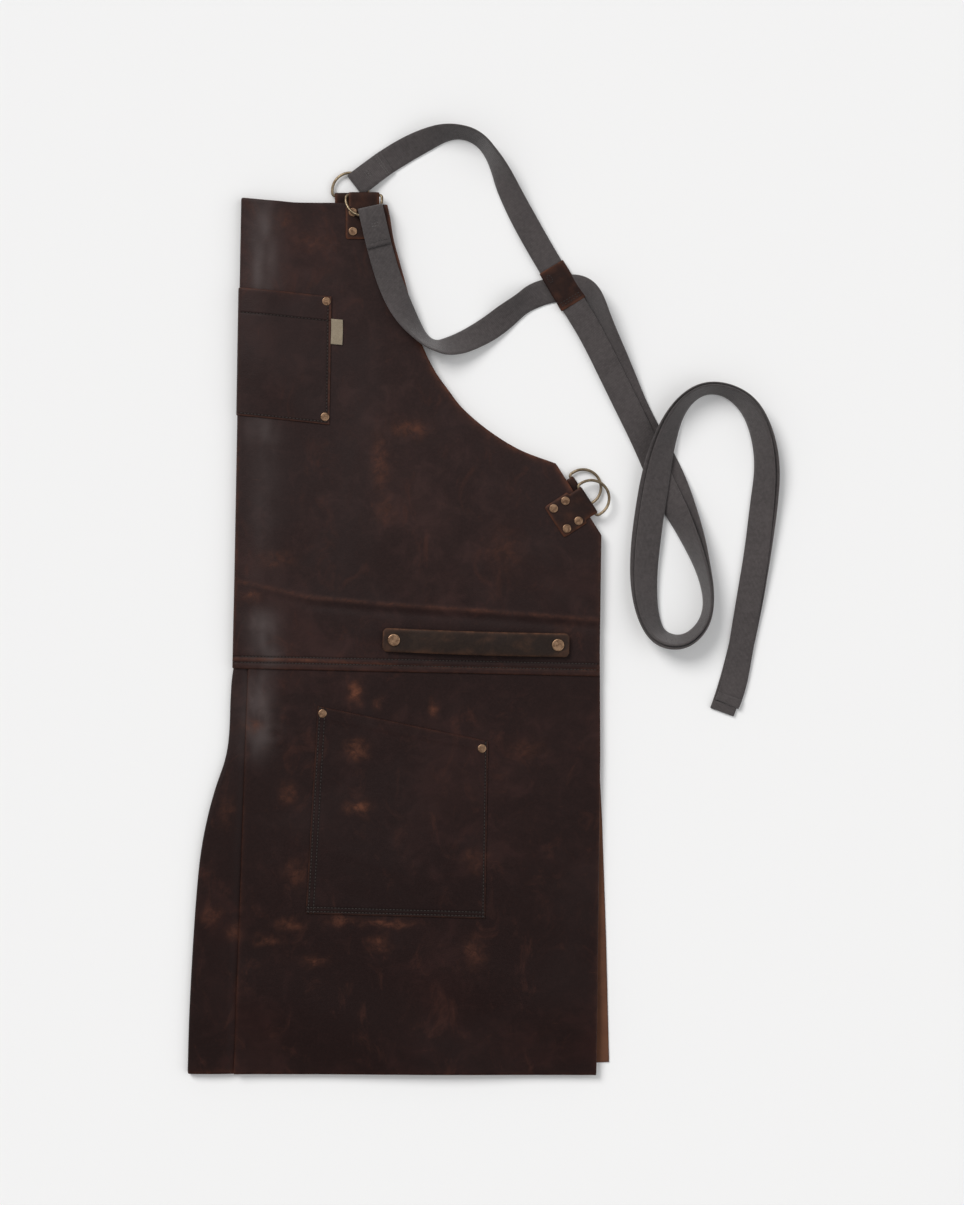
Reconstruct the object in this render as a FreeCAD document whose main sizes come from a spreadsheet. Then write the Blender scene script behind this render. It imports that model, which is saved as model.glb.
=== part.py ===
"""A split-leg leather butcher apron, folded along its centre line and laid flat, with its straps.

Axes: +X from the fold towards the apron's side edge, +Y from hem to bib, +Z up from the surface it lies on.
The origin is on that surface, just below the waist seam and midway between the fold and the side edge.
Lengths are millimetres, angles degrees.
"""
import FreeCAD, Part

import math
import os

import Sketcher
from FreeCAD import Placement, Rotation, Vector

UP = Vector(0, 0, 1)
ORIGIN = Vector(0, 0, 0)

doc = FreeCAD.newDocument("butcher_apron")
size = doc.addObject("Spreadsheet::Sheet", "Size")

DRIVING_SIZES = {
    "leather": {"hide": 2.0, "pocket_hide": 1.4, "tab_hide": 1.4},
    "stack_up": {"mid_level": 6.6, "overrun": 20, "bib_overrun": 30},
    "bib": {
        "fold_waist": -183, "fold_top": -174, "side_waist": 183, "side_top": 185, "waist_left": 22,
        "waist_right": 14, "side_height": 157, "arm_x": 139, "arm_y": 227, "arm_mid_x": 18, "arm_mid_y": 320,
        "arm_radius": 180, "neck_radius": 720, "bib_corner_x": -26, "bib_corner_y": 474, "bib_top_right": 485,
        "bib_top_left": 492, "bib_top_radius": 520, "fold_rounding": 3, "corner_cut": 3,
    },
    "legs": {
        "seam_top": 40, "seam_step": 9, "split_start": -35, "flare_start": -187, "flare_mid_x": -207,
        "flare_mid_y": -125, "flare_low_x": -220, "flare_low_y": -215, "flare_radius": 160, "hem_left": -228,
        "hem_low": -384, "under_side_y": -90, "under_hem_x": 193, "under_hem_y": -373, "flap_edge": -101,
        "front_edge_top": -167, "front_edge_split": -170, "front_edge_hem": -182, "front_hem_right": 180,
        "tongue_gap": 1.2, "cut_past": 5,
    },
    "chest_pocket": {
        "chest_right": -86, "chest_low_left": 275, "chest_low_right": 265.5, "chest_top_left": 402,
        "chest_top_right": 393, "pocket_depth": 4.6, "pocket_rim": 10.5, "label_wide": 12, "label_long": 25,
        "label_low": 346, "label_thick": 0.8, "wrap_low": 1, "wrap_top": 3.5, "room_low": 2.9,
        "room_top": 5.1, "fold_taper": 2, "mouth_lift": 1, "chest_rivet_in": 3.5, "chest_rivet_down": 4.5,
        "chest_low_rivet_in": 5, "chest_low_rivet_up": 7.5,
    },
    "leg_pocket": {
        "leg_left_top": -98, "leg_left_low": -110, "leg_right": 72, "leg_right_low": 69, "leg_top_left": -18,
        "leg_top_right": -52, "leg_low_left": -223, "leg_low_right": -227, "leg_rivet_left_x": -93.5,
        "leg_rivet_left_y": -23.5, "leg_rivet_right_x": 66, "leg_rivet_right_y": -58.5, "mouth_drop": 2,
    },
    "towel_loop": {
        "stud_pitch": 164, "strap_over": 11, "towel_wide": 23, "towel_thick": 1.8, "stud_tall": 3.0,
        "stud_centre_x": 60, "stud_centre_y": 47.5, "towel_slope": -1.75, "towel_arch": 3.4, "towel_land": 14,
        "cap_across": 12.6, "cap_tall": 1.4, "socket_across": 11, "socket_tall": 1.5, "post_across": 4,
        "hinge_offset": 12, "joint_gap": 0.3, "arch_half": 40, "socket_room": 0.6, "socket_roof": 0.2,
        "stud_gap": 0.1, "head_gap": 0.3,
    },
    "rings": {"wire": 2.8, "ring_half": 18, "ring_corner": 3, "ring_side": 2},
    "tabs": {
        "tab_wide": 36, "tab_neck": 30, "neck_long": 11, "loop_bore": 1.6, "chest_tab_long": 44,
        "side_tab_long": 39, "rivet_across": 8.8, "rivet_cap": 1.2, "rivet_post": 3, "rivet_back": 7,
        "rivet_back_tall": 0.6, "hole_room": 0.1, "leaf_start": 6, "slot_start": 5, "cutter_tall": 20,
        "neck_slant": 4,
    },
    "webbing": {
        "strap_wide": 25, "strap_thick": 1.5, "loop_room": 0.2, "eye_reach": 4, "sewn_gap": 0.6,
        "hem_long": 7, "hem_gap": 0.1,
    },
    "keeper": {"keeper_long": 43, "keeper_wide": 28, "keeper_hide": 1.2, "keeper_room": 0.3},
}

row = 0
for group in DRIVING_SIZES.values():
    for alias, number in group.items():
        row += 1
        size.set(f"A{row}", str(number))
        size.setAlias(f"A{row}", alias)
doc.recompute()


def cell(text):
    """The value of an expression in the sheet's aliases."""
    return float(size.evalExpression(text))


def bind(thing, prop, text):
    """Ties a property to an expression in which each alias is read from the sheet."""
    thing.setExpression(prop, named(text))


def named(text):
    """The expression with the sheet's name before each alias."""
    words = []
    for word in text.replace("(", "( ").replace(")", " )").split():
        sign = "-" if word.startswith("-") and len(word) > 1 else ""
        plain = word[len(sign):]
        words.append(sign + ("Size." + plain if plain[:1].isalpha() else plain))
    return " ".join(words)


# Levels of the stack, from the surface up. The two halves mirror each other about mid_level.
FRONT_LEG = "mid_level"
BACK_LEG_TONGUE = "mid_level - hide"
BIB_FRONT = "mid_level + hide"
BIB_BACK = "mid_level - hide - hide"
BIB_TOP = "mid_level + hide + hide"
LEG_TOP = "mid_level + hide"
FRONT_BAR = "mid_level + hide + hide / 2"
BACK_BAR = "mid_level - hide - hide / 2"
TOUCHING = 0.01     # two levels closer than this are one


# ---------------------------------------------------------------- sketch and feature helpers

def new_body(name):
    body = doc.addObject("PartDesign::Body", name)
    body.Label = name
    body.AllowCompound = True
    return body


def sketch_on(body, name, level="0", role="XY_Plane"):
    """A sketch on one of the body's own origin planes, lifted along the plane's normal to a level."""
    sketch = body.newObject("Sketcher::SketchObject", name)
    base_plane = next(f for f in body.Origin.OriginFeatures if f.Role == role)
    sketch.AttachmentSupport = (base_plane, [""])
    sketch.MapMode = "FlatFace"
    bind(sketch, "AttachmentOffset.Base.z", level)
    return sketch


def fix(sketch, kind, numbers, text):
    """One driving constraint whose value is an expression."""
    index = sketch.addConstraint(Sketcher.Constraint(kind, *numbers, cell(named(text))))
    bind(sketch, f"Constraints[{index}]", text)


def arc_between(start, end, radius):
    """The short arc that joins start and end; a positive radius bulges to the left of the way between them.

    A sketch keeps its arcs counter-clockwise, so one that bulges to the left is made from end to start.
    """
    chord = end - start
    middle = (start + end) * 0.5
    left = UP.cross(chord).normalize()
    rise = abs(radius) - math.sqrt(radius * radius - chord.Length * chord.Length / 4)
    crown = middle + left * math.copysign(rise, radius)
    return Part.Arc(end, crown, start) if radius > 0 else Part.Arc(start, crown, end)


def outline(sketch, corners):
    """A closed outline. Each corner is (x, y) or (x, y, radius): with a radius, an arc leads to it.

    A radius starting with "-" bulges to the right of the way along the outline.
    """
    places = [Vector(cell(named(c[0])), cell(named(c[1])), 0) for c in corners]
    ends = []
    for i, corner in enumerate(corners):
        start, end = places[i - 1], places[i]
        if len(corner) == 3:
            edge = arc_between(start, end, cell(named(corner[2])))
        else:
            edge = Part.LineSegment(start, end)
        index = sketch.addGeometry(edge, False)
        made = sketch.Geometry[index]
        forward = made.StartPoint.distanceToPoint(start) < made.StartPoint.distanceToPoint(end)
        ends.append((index, 1, 2) if forward else (index, 2, 1))
    for i, corner in enumerate(corners):
        index, first, last = ends[i]
        following = ends[(i + 1) % len(ends)]
        sketch.addConstraint(Sketcher.Constraint("Coincident", index, last, following[0], following[1]))
        fix(sketch, "DistanceX", (-1, 1, index, last), corner[0])
        fix(sketch, "DistanceY", (-1, 1, index, last), corner[1])
        if len(corner) == 3:
            fix(sketch, "Radius", (index,), corner[2].lstrip("-"))


def circles(sketch, spots, across):
    """Equal circles at the spots, each a pair of expressions."""
    for x, y in spots:
        place = Vector(cell(named(x)), cell(named(y)), 0)
        index = sketch.addGeometry(Part.Circle(place, UP, cell(named(across)) / 2), False)
        fix(sketch, "DistanceX", (-1, 1, index, 3), x)
        fix(sketch, "DistanceY", (-1, 1, index, 3), y)
        fix(sketch, "Diameter", (index,), across)


def pad(body, sketch, length, symmetric=False):
    feature = body.newObject("PartDesign::Pad", sketch.Name + "_pad")
    feature.Profile = sketch
    feature.SideType = "Symmetric" if symmetric else "One side"
    bind(feature, "Length", length)
    return feature


def pocket(body, sketch, length, symmetric=False):
    """Cuts from the sketch along its normal."""
    feature = body.newObject("PartDesign::Pocket", sketch.Name + "_cut")
    feature.Profile = sketch
    feature.SideType = "Symmetric" if symmetric else "One side"
    feature.Reversed = not symmetric
    bind(feature, "Length", length)
    return feature


def fillet(body, base, radius, chosen):
    """Rounds the base feature's edges that the chosen test picks."""
    doc.recompute()
    names = [f"Edge{i + 1}" for i, edge in enumerate(base.Shape.Edges) if chosen(edge)]
    feature = body.newObject("PartDesign::Fillet", base.Name + "_round")
    feature.Base = (base, names)
    bind(feature, "Radius", radius)
    return feature


def slab(body, name, corners, level, length):
    """A flat piece: an outline padded upwards from a level."""
    sketch = sketch_on(body, name, level)
    outline(sketch, corners)
    return pad(body, sketch, length)


def cut(body, name, corners, level, length):
    """An outline cut upwards from a level."""
    sketch = sketch_on(body, name, level)
    outline(sketch, corners)
    return pocket(body, sketch, length)


def drill(body, name, spots, level, length, across="rivet_post + hole_room"):
    sketch = sketch_on(body, name, level)
    circles(sketch, spots, across)
    return pocket(body, sketch, length)


def place(thing, centre, turn=0, level="0", upside_down=False):
    """Puts a piece down: turned about +Z, and for the lower half turned over about its own Y axis first."""
    flip = Rotation(Vector(0, 1, 0), 180 if upside_down else 0)
    height = cell(named(level))
    thing.Placement = Placement(Vector(centre[0], centre[1], height), Rotation(UP, turn).multiply(flip))


def carried(thing, x, y):
    """Where a point of a placed piece's own XY plane lies, as two plain texts for a sketch."""
    spot = thing.Placement.multVec(Vector(x, y, 0))
    return (f"{spot.x:.4f}", f"{spot.y:.4f}")


# ---------------------------------------------------------------- tabs, rings and rivets

def ring_tab(name, length):
    """A leaf of leather folded round a ring's bar (the piece's X axis) with both ends towards -Y.

    The two leaves hold the panel's edge between them.
    """
    body = new_body(name)
    profile = sketch_on(body, name + "_section", role="YZ_Plane")
    skin = "loop_bore + tab_hide"
    below_skin = "-1 * ( loop_bore + tab_hide )"
    leaf = "hide / 2 + tab_hide"
    below_leaf = "-1 * ( hide / 2 + tab_hide )"
    outline(profile, [
        ("-" + length, leaf), ("-1 * leaf_start", leaf), ("0", skin), (skin, "0", skin), ("0", below_skin, skin),
        ("-1 * leaf_start", below_leaf), ("-" + length, below_leaf), ("-" + length, "-1 * hide / 2"),
        ("-1 * slot_start", "-1 * hide / 2"), ("0", "-1 * loop_bore"), ("loop_bore", "0", "-loop_bore"),
        ("0", "loop_bore", "-loop_bore"), ("-1 * slot_start", "hide / 2"), ("-" + length, "hide / 2"),
    ])
    strip = pad(body, profile, "tab_wide", symmetric=True)
    for side in (-1, 1):
        sketch = sketch_on(body, f"{name}_neck_{'left' if side < 0 else 'right'}", "-1 * cutter_tall / 2")
        inner = f"{side} * tab_neck / 2"
        outer = f"{side} * tab_wide"
        outline(sketch, [
            (inner, "leaf_start"), (inner, "-1 * neck_long"), (outer, "-1 * neck_long - neck_slant"),
            (outer, "leaf_start"),
        ])
        strip = pocket(body, sketch, "cutter_tall")
    return body


def rivet_spots(length_near, length_far, half_pitch):
    return [(sx * half_pitch, -y) for y in (length_near, length_far) for sx in (-1, 1)]


def rivets(name, spots, low, high):
    """A group of two-part rivets through leather from level low to level high, domed cap on top.

    Each rivet is one solid: cap, post and flat back.
    """
    body = new_body(name)
    cap_sketch = sketch_on(body, name + "_caps", high)
    circles(cap_sketch, spots, "rivet_across")
    caps = pad(body, cap_sketch, "rivet_cap")
    top = cell(named(high)) + cell("Size.rivet_cap")
    fillet(body, caps, "rivet_cap * 0.7", lambda edge: abs(edge.BoundBox.ZMin - top) < TOUCHING)
    post_sketch = sketch_on(body, name + "_posts", low)
    circles(post_sketch, spots, "rivet_post")
    pad(body, post_sketch, f"{cell(named(high)) - cell(named(low))}")
    back_sketch = sketch_on(body, name + "_backs", low + " - rivet_back_tall")
    circles(back_sketch, spots, "rivet_back")
    pad(body, back_sketch, "rivet_back_tall")
    return body


def d_ring(name):
    """A D-shaped ring of round wire: a straight bar along X through the origin, and a bow towards +Y."""
    body = new_body(name)
    spine = sketch_on(body, name + "_line")
    outline(spine, [
        ("ring_half - ring_corner", "0"), ("ring_half", "ring_corner", "-ring_corner"),
        ("ring_half", "ring_corner + ring_side"), ("0", "ring_corner + ring_side + ring_half", "-ring_half"),
        ("-1 * ring_half", "ring_corner + ring_side", "-ring_half"), ("-1 * ring_half", "ring_corner"),
        ("-1 * ring_half + ring_corner", "0", "-ring_corner"), ("0", "0"),
    ])
    section = sketch_on(body, name + "_section", role="YZ_Plane")
    circles(section, [("0", "0")], "wire")
    sweep = body.newObject("PartDesign::AdditivePipe", name + "_wire")
    sweep.Profile = section
    sweep.Spine = (spine, [])
    return body


CHEST_RIVETS = rivet_spots(length_near=17.5, length_far=36.5, half_pitch=11)
SIDE_RIVETS = rivet_spots(length_near=18, length_far=32, half_pitch=12)
SIDE_TURN = -56.7
CHEST_FRONT = (-52, 495)
CHEST_BACK = (-66, 495)
SIDE_FRONT = (171, 189)
SIDE_BACK = (163, 200)
# The front chest ring lies folded down over its tab, its bow raised by the strap's sewn end that hangs on it.
CHEST_RING_LEAN = 20

TABS = {
    "chest_tab_front": (CHEST_FRONT, 0, False, "chest_tab_long", CHEST_RIVETS),
    "chest_tab_back": (CHEST_BACK, 0, True, "chest_tab_long", CHEST_RIVETS),
    "side_tab_front": (SIDE_FRONT, SIDE_TURN, False, "side_tab_long", SIDE_RIVETS),
    "side_tab_back": (SIDE_BACK, SIDE_TURN, True, "side_tab_long", SIDE_RIVETS),
}
panel_holes = {}
for tab_name, (centre, turn, lower, tab_length, rivet_places) in TABS.items():
    tab = ring_tab(tab_name, tab_length)
    own_spots = [(str(x), str(y)) for x, y in rivet_places]
    drill(tab, tab_name + "_holes", own_spots, "-1 * leaf_start", "2 * leaf_start")
    place(tab, centre, turn, BACK_BAR if lower else FRONT_BAR, lower)
    panel_holes[tab_name] = [carried(tab, x, y) for x, y in rivet_places]
    group = rivets("rivets_" + tab_name, own_spots, "-1 * hide / 2 - tab_hide", "hide / 2 + tab_hide")
    group.Placement = tab.Placement
    ring = d_ring(tab_name.replace("tab", "ring"))
    if tab_name == "chest_tab_front":
        bar = Vector(centre[0], centre[1], cell(named(FRONT_BAR)))
        ring.Placement = Placement(bar, Rotation(Vector(1, 0, 0), 180 - CHEST_RING_LEAN))
    else:
        place(ring, centre, turn, BACK_BAR if lower else FRONT_BAR)

CHEST_POCKET_RIVETS = [
    ("chest_right - chest_rivet_in", "chest_top_right - chest_rivet_down"),
    ("chest_right - chest_low_rivet_in", "chest_low_right + chest_low_rivet_up"),
]
LEG_POCKET_RIVETS = [("leg_rivet_left_x", "leg_rivet_left_y"), ("leg_rivet_right_x", "leg_rivet_right_y")]
slope = Rotation(UP, cell("Size.towel_slope"))
stud_middle = Vector(cell("Size.stud_centre_x"), cell("Size.stud_centre_y"), 0)
STUD_SPOTS = []
for side in (-1, 1):
    stud_spot = stud_middle + slope.multVec(Vector(side * cell("Size.stud_pitch") / 2, 0, 0))
    STUD_SPOTS.append((f"{stud_spot.x:.4f}", f"{stud_spot.y:.4f}"))


# ---------------------------------------------------------------- leather panels

def bib_panel():
    """The bib, one sheet folded at the left: a thick outline, hollowed from the right down to the fold."""
    body = new_body("bib_panel")
    block = slab(body, "bib_outline", [
        ("fold_waist", "waist_left"), ("side_waist", "waist_right"), ("side_top", "side_height"),
        ("arm_x", "arm_y"), ("arm_mid_x", "arm_mid_y", "arm_radius"),
        ("bib_corner_x", "bib_corner_y", "neck_radius"), ("bib_corner_x - corner_cut", "bib_top_right"),
        ("fold_top", "bib_top_left", "bib_top_radius"),
    ], BIB_BACK, "4 * hide")
    cut(body, "bib_inside", [
        ("fold_waist + hide", "waist_left - bib_overrun"),
        ("side_top + bib_overrun", "waist_left - bib_overrun"),
        ("side_top + bib_overrun", "bib_top_left + bib_overrun"),
        ("fold_top + hide", "bib_top_left + bib_overrun"),
    ], BACK_LEG_TONGUE, "2 * hide")
    front_spots = panel_holes["chest_tab_front"] + panel_holes["side_tab_front"]
    drill(body, "bib_front_holes", front_spots + CHEST_POCKET_RIVETS + STUD_SPOTS, BIB_FRONT, "hide")
    back_spots = panel_holes["chest_tab_back"] + panel_holes["side_tab_back"]
    drill(body, "bib_back_holes", back_spots + CHEST_POCKET_RIVETS, BIB_BACK, "hide")
    levels = (cell(named(BIB_BACK)), cell(named(BIB_TOP)))
    fold = cell("Size.fold_top") + 1

    def on_fold(edge):
        box = edge.BoundBox
        flat = box.ZLength < TOUCHING and min(abs(box.ZMin - level) for level in levels) < TOUCHING
        return flat and box.XMax < fold and box.YLength > 100
    fillet(body, body.Tip, "fold_rounding", on_fold)
    return body


def leg_panel_front():
    """The leg panel on top, whose inner edge lies over the other leg."""
    body = new_body("leg_panel_front")
    slab(body, "front_leg_outline", [
        ("front_edge_top", "seam_top"), ("front_edge_split", "split_start"), ("front_edge_hem", "hem_low"),
        ("front_hem_right", "hem_low - 1"), ("side_waist", "seam_top"),
    ], FRONT_LEG, "hide")
    drill(body, "front_leg_holes", LEG_POCKET_RIVETS, FRONT_LEG, "hide")
    return body


def leg_panel_back():
    """The other leg panel: flat below, wrapped round the flared fold, its inner edge under the top panel."""
    body = new_body("leg_panel_back")
    flare = [
        ("flare_mid_x", "flare_mid_y", "flare_radius"), ("flare_low_x", "flare_low_y", "-flare_radius"),
    ]
    slab(body, "back_leg_outline", [
        ("fold_waist", "seam_step"), ("flare_start", "split_start"), *flare, ("hem_left", "hem_low"),
        ("under_hem_x", "under_hem_y"), ("side_waist + 1", "under_side_y"), ("side_waist", "seam_step"),
    ], "0", "hide")
    slab(body, "flap_outline", [
        ("fold_waist", "seam_step"), ("flare_start", "split_start"), *flare, ("hem_left", "hem_low"),
        ("flap_edge", "hem_low"), ("flap_edge", "seam_step"),
    ], "hide", "mid_level - hide")
    cut(body, "flap_inside", [
        ("fold_waist + hide", "seam_step + cut_past"), ("fold_waist + hide", "seam_step"),
        ("flare_start + hide", "split_start"), ("flare_mid_x + hide", "flare_mid_y", "flare_radius"),
        ("flare_low_x + hide", "flare_low_y", "-flare_radius"), ("hem_left + hide", "hem_low - cut_past"),
        ("flap_edge + cut_past", "hem_low - cut_past"), ("flap_edge + cut_past", "seam_step + cut_past"),
    ], "hide", "mid_level - hide - hide")
    slab(body, "seam_riser", [
        ("fold_waist", "seam_step"), ("side_waist", "seam_step"), ("side_waist", "seam_step + hide"),
        ("fold_waist", "seam_step + hide"),
    ], "0", "mid_level")
    slab(body, "seam_tongue", [
        ("fold_waist + hide + tongue_gap", "seam_step"), ("side_waist", "seam_step"), ("side_waist", "seam_top"),
        ("fold_waist + hide + tongue_gap", "seam_top"),
    ], BACK_LEG_TONGUE, "hide")
    return body


# ---------------------------------------------------------------- pockets and label

def chest_pocket():
    """The chest pocket, one sheet wrapped round the fold: raised and open on top in front, flat behind."""
    body = new_body("chest_pocket")
    slab(body, "chest_back", [
        ("fold_waist + wrap_low", "chest_low_left"), ("chest_right - wrap_low", "chest_low_right"),
        ("chest_right", "chest_top_right"), ("fold_waist + wrap_top", "chest_top_left"),
    ], BIB_BACK + " - pocket_hide", "4 * hide + 2 * pocket_hide")
    cut(body, "chest_bib_room", [
        ("fold_waist + room_low", "chest_low_left - overrun"),
        ("chest_right + overrun", "chest_low_right - overrun"),
        ("chest_right + overrun", "chest_top_right + overrun"),
        ("fold_waist + room_top", "chest_top_left + overrun"),
    ], BIB_BACK, "4 * hide")
    slab(body, "chest_bulge", [
        ("fold_waist + pocket_rim", "chest_low_left + pocket_rim"),
        ("chest_right - pocket_rim", "chest_low_right + pocket_rim"),
        ("chest_right - pocket_rim", "chest_top_right + mouth_lift"),
        ("fold_waist + pocket_rim + fold_taper", "chest_top_left"),
    ], BIB_TOP, "pocket_depth + pocket_hide")
    cut(body, "chest_hollow", [
        ("fold_waist + pocket_rim + pocket_hide", "chest_low_left + pocket_rim + pocket_hide"),
        ("chest_right - pocket_rim - pocket_hide", "chest_low_right + pocket_rim + pocket_hide"),
        ("chest_right - pocket_rim - pocket_hide", "chest_top_left + overrun"),
        ("fold_waist + pocket_rim + pocket_hide + fold_taper", "chest_top_left + overrun"),
    ], BIB_TOP, "pocket_depth")
    drill(body, "chest_holes", CHEST_POCKET_RIVETS, "0", "overrun")
    return body


def leg_pocket():
    """The patch pocket on the thigh: a flat stitched rim, raised inside it, open along its slanted top."""
    body = new_body("leg_pocket")
    slab(body, "leg_pocket_rim", [
        ("leg_left_top", "leg_top_left"), ("leg_left_low", "leg_low_left"), ("leg_right_low", "leg_low_right"),
        ("leg_right", "leg_top_right"),
    ], LEG_TOP, "pocket_hide")
    slab(body, "leg_pocket_bulge", [
        ("leg_left_top + pocket_rim", "leg_top_left - mouth_drop"),
        ("leg_left_low + pocket_rim", "leg_low_left + pocket_rim"),
        ("leg_right_low - pocket_rim", "leg_low_right + pocket_rim"),
        ("leg_right - pocket_rim", "leg_top_right + mouth_lift"),
    ], LEG_TOP, "pocket_depth + pocket_hide")
    cut(body, "leg_pocket_hollow", [
        ("leg_left_top + pocket_rim + pocket_hide", "leg_top_left + overrun"),
        ("leg_left_low + pocket_rim + pocket_hide", "leg_low_left + pocket_rim + pocket_hide"),
        ("leg_right_low - pocket_rim - pocket_hide", "leg_low_right + pocket_rim + pocket_hide"),
        ("leg_right - pocket_rim - pocket_hide", "leg_top_left + overrun"),
    ], LEG_TOP, "pocket_depth")
    drill(body, "leg_pocket_holes", LEG_POCKET_RIVETS, "0", "overrun")
    return body


def woven_label():
    """The blank woven label, folded flat and sewn into the chest pocket's side seam."""
    body = new_body("woven_label")
    slab(body, "label_outline", [
        ("chest_right", "label_low"), ("chest_right + label_wide", "label_low"),
        ("chest_right + label_wide", "label_low + label_long"), ("chest_right", "label_low + label_long"),
    ], BIB_TOP, "label_thick")
    return body


# ---------------------------------------------------------------- towel loop

def towel_pieces():
    """The towel loop and its press studs, in the loop's own axes: X along it, Z up from the bib, origin midway.

    The end at the left stud is a piece of its own, and the loop turns about the line where the two meet.
    """
    left, right = "-1 * stud_pitch / 2", "stud_pitch / 2"
    strap_low, strap_high = "stud_tall", "stud_tall + towel_thick"
    cut_at = left + " + hinge_offset"
    moving_from = cut_at + " + joint_gap"

    def strip(name, corners):
        body = new_body(name)
        sketch = sketch_on(body, name + "_side", role="XZ_Plane")
        outline(sketch, corners)
        pad(body, sketch, "towel_wide", symmetric=True)
        return body

    anchor = strip("towel_loop_anchor", [
        (left + " - strap_over", strap_low), (cut_at, strap_low), (cut_at, strap_high),
        (left + " - strap_over", strap_high),
    ])
    land = "towel_land"
    loop = strip("towel_loop_strap", [
        (moving_from, strap_low), (left + " + " + land, strap_low),
        ("-1 * arch_half", strap_low + " + towel_arch"), ("arch_half", strap_low + " + towel_arch"),
        (right + " - " + land, strap_low), (right + " + strap_over", strap_low),
        (right + " + strap_over", strap_high), (right + " - " + land, strap_high),
        ("arch_half", strap_high + " + towel_arch"), ("-1 * arch_half", strap_high + " + towel_arch"),
        (left + " + " + land, strap_high), (moving_from, strap_high),
    ])
    made = [anchor, loop]
    for body, spot in ((anchor, left), (loop, right)):
        drill(body, body.Name + "_hole", [(spot, "0")], "0", "overrun", "post_across")
    for end, spot in (("left", left), ("right", right)):
        cap = new_body(f"stud_cap_{end}")
        dome = sketch_on(cap, f"dome_{end}", strap_high)
        circles(dome, [(spot, "0")], "cap_across")
        dome_pad = pad(cap, dome, "cap_tall")
        crown = cell(named(strap_high)) + cell("Size.cap_tall")
        fillet(cap, dome_pad, "cap_tall * 0.8", lambda edge, z=crown: abs(edge.BoundBox.ZMin - z) < TOUCHING)
        barrel = sketch_on(cap, f"barrel_{end}", strap_low)
        circles(barrel, [(spot, "0")], "post_across - hole_room")
        pad(cap, barrel, "towel_thick")
        socket = new_body(f"stud_socket_{end}")
        ring = sketch_on(socket, f"socket_ring_{end}", "stud_tall - socket_tall")
        circles(ring, [(spot, "0")], "socket_across")
        pad(socket, ring, "socket_tall")
        bore = sketch_on(socket, f"socket_bore_{end}", "stud_tall - socket_tall")
        circles(bore, [(spot, "0")], "post_across + socket_room")
        pocket(socket, bore, "socket_tall - socket_roof")
        made += [cap, socket]
    studs = new_body("towel_studs")
    spots = [(left, "0"), (right, "0")]
    for name, across, low, tall in (
        ("stud_back", "rivet_back", "-1 * hide - rivet_back_tall", "rivet_back_tall"),
        ("stud_post", "rivet_post", "-1 * hide", "hide"),
        ("stud_flange", "socket_across", "0", "stud_tall - socket_tall - stud_gap"),
        ("stud_head", "post_across", "stud_tall - socket_tall - stud_gap", "socket_tall - head_gap"),
    ):
        sketch = sketch_on(studs, name, low)
        circles(sketch, spots, across)
        pad(studs, sketch, tall)
    made.append(studs)
    for body in made:
        place(body, (stud_middle.x, stud_middle.y), cell("Size.towel_slope"), BIB_TOP)


# ---------------------------------------------------------------- straps

def strap_route(points, name):
    """Straight runs joined by tangent arcs, each as large as its two runs allow."""
    edges = []
    start = points[0]
    radii = []
    for before, corner, after in zip(points, points[1:], points[2:]):
        along = (corner - before).normalize()
        onward = (after - corner).normalize()
        half_turn = along.getAngle(onward) / 2
        reach = 0.45 * min((corner - before).Length, (after - corner).Length)
        radius = reach / math.tan(half_turn)
        inward = (onward - along).normalize()
        middle = corner + inward * (radius / math.cos(half_turn) - radius)
        edges.append(Part.LineSegment(start, corner - along * reach).toShape())
        edges.append(Part.Arc(corner - along * reach, middle, corner + onward * reach).toShape())
        start = corner + onward * reach
        radii.append(round(radius))
    edges.append(Part.LineSegment(start, points[-1]).toShape())
    print(name, "radii", radii)
    return Part.Wire(edges)


def strap(name, points):
    """Webbing laid along a route, its width kept level."""
    wide = cell("Size.strap_wide")
    thick = cell("Size.strap_thick")
    wire = strap_route(points, name)
    along = (points[1] - points[0]).normalize()
    across = UP.cross(along).normalize() * (wide / 2)
    rise = along.cross(across).normalize() * (thick / 2)
    corners = [points[0] + across + rise, points[0] - across + rise,
               points[0] - across - rise, points[0] + across - rise]
    sweep = Part.BRepOffsetAPI.MakePipeShell(wire)
    sweep.setBiNormalMode(UP)
    sweep.add(Part.makePolygon(corners + corners[:1]))
    sweep.build()
    sweep.makeSolid()
    feature = doc.addObject("Part::Feature", name)
    feature.Label = name
    feature.Shape = sweep.shape()
    print(name, "length", round(wire.Length), "volume over section x length",
          round(feature.Shape.Volume / (wide * thick * wire.Length), 4))
    return feature


def sewn_end(name, bow, route_start):
    """The strap's end, passed round a ring's bow and sewn back on itself: a loop and a double layer.

    Its own X axis is the bow's wire, and it runs towards its own +Y, up to just short of the strap's own start.
    """
    length = f"{(route_start - bow).Length} - sewn_gap"
    body = new_body(name)
    side = sketch_on(body, name + "_side", role="YZ_Plane")
    inside = "wire / 2 + loop_room"
    outside = "wire / 2 + loop_room + strap_thick"
    outline(side, [
        ("eye_reach", "-1 * strap_thick"), (length, "-1 * strap_thick"), (length, "strap_thick"),
        ("eye_reach", "strap_thick"),
        ("0", outside), ("-1 * ( " + outside + " )", "0", "-( " + outside + " )"),
        ("0", "-1 * ( " + outside + " )", "-( " + outside + " )"),
    ])
    pad(body, side, "strap_wide", symmetric=True)
    eye = sketch_on(body, name + "_eye", role="YZ_Plane")
    circles(eye, [("0", "0")], "2 * ( " + inside + " )")
    pocket(body, eye, "strap_wide + overrun", symmetric=True)
    body.Placement = Placement(bow, Rotation(UP, heading_of(bow, route_start)))
    return body


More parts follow.
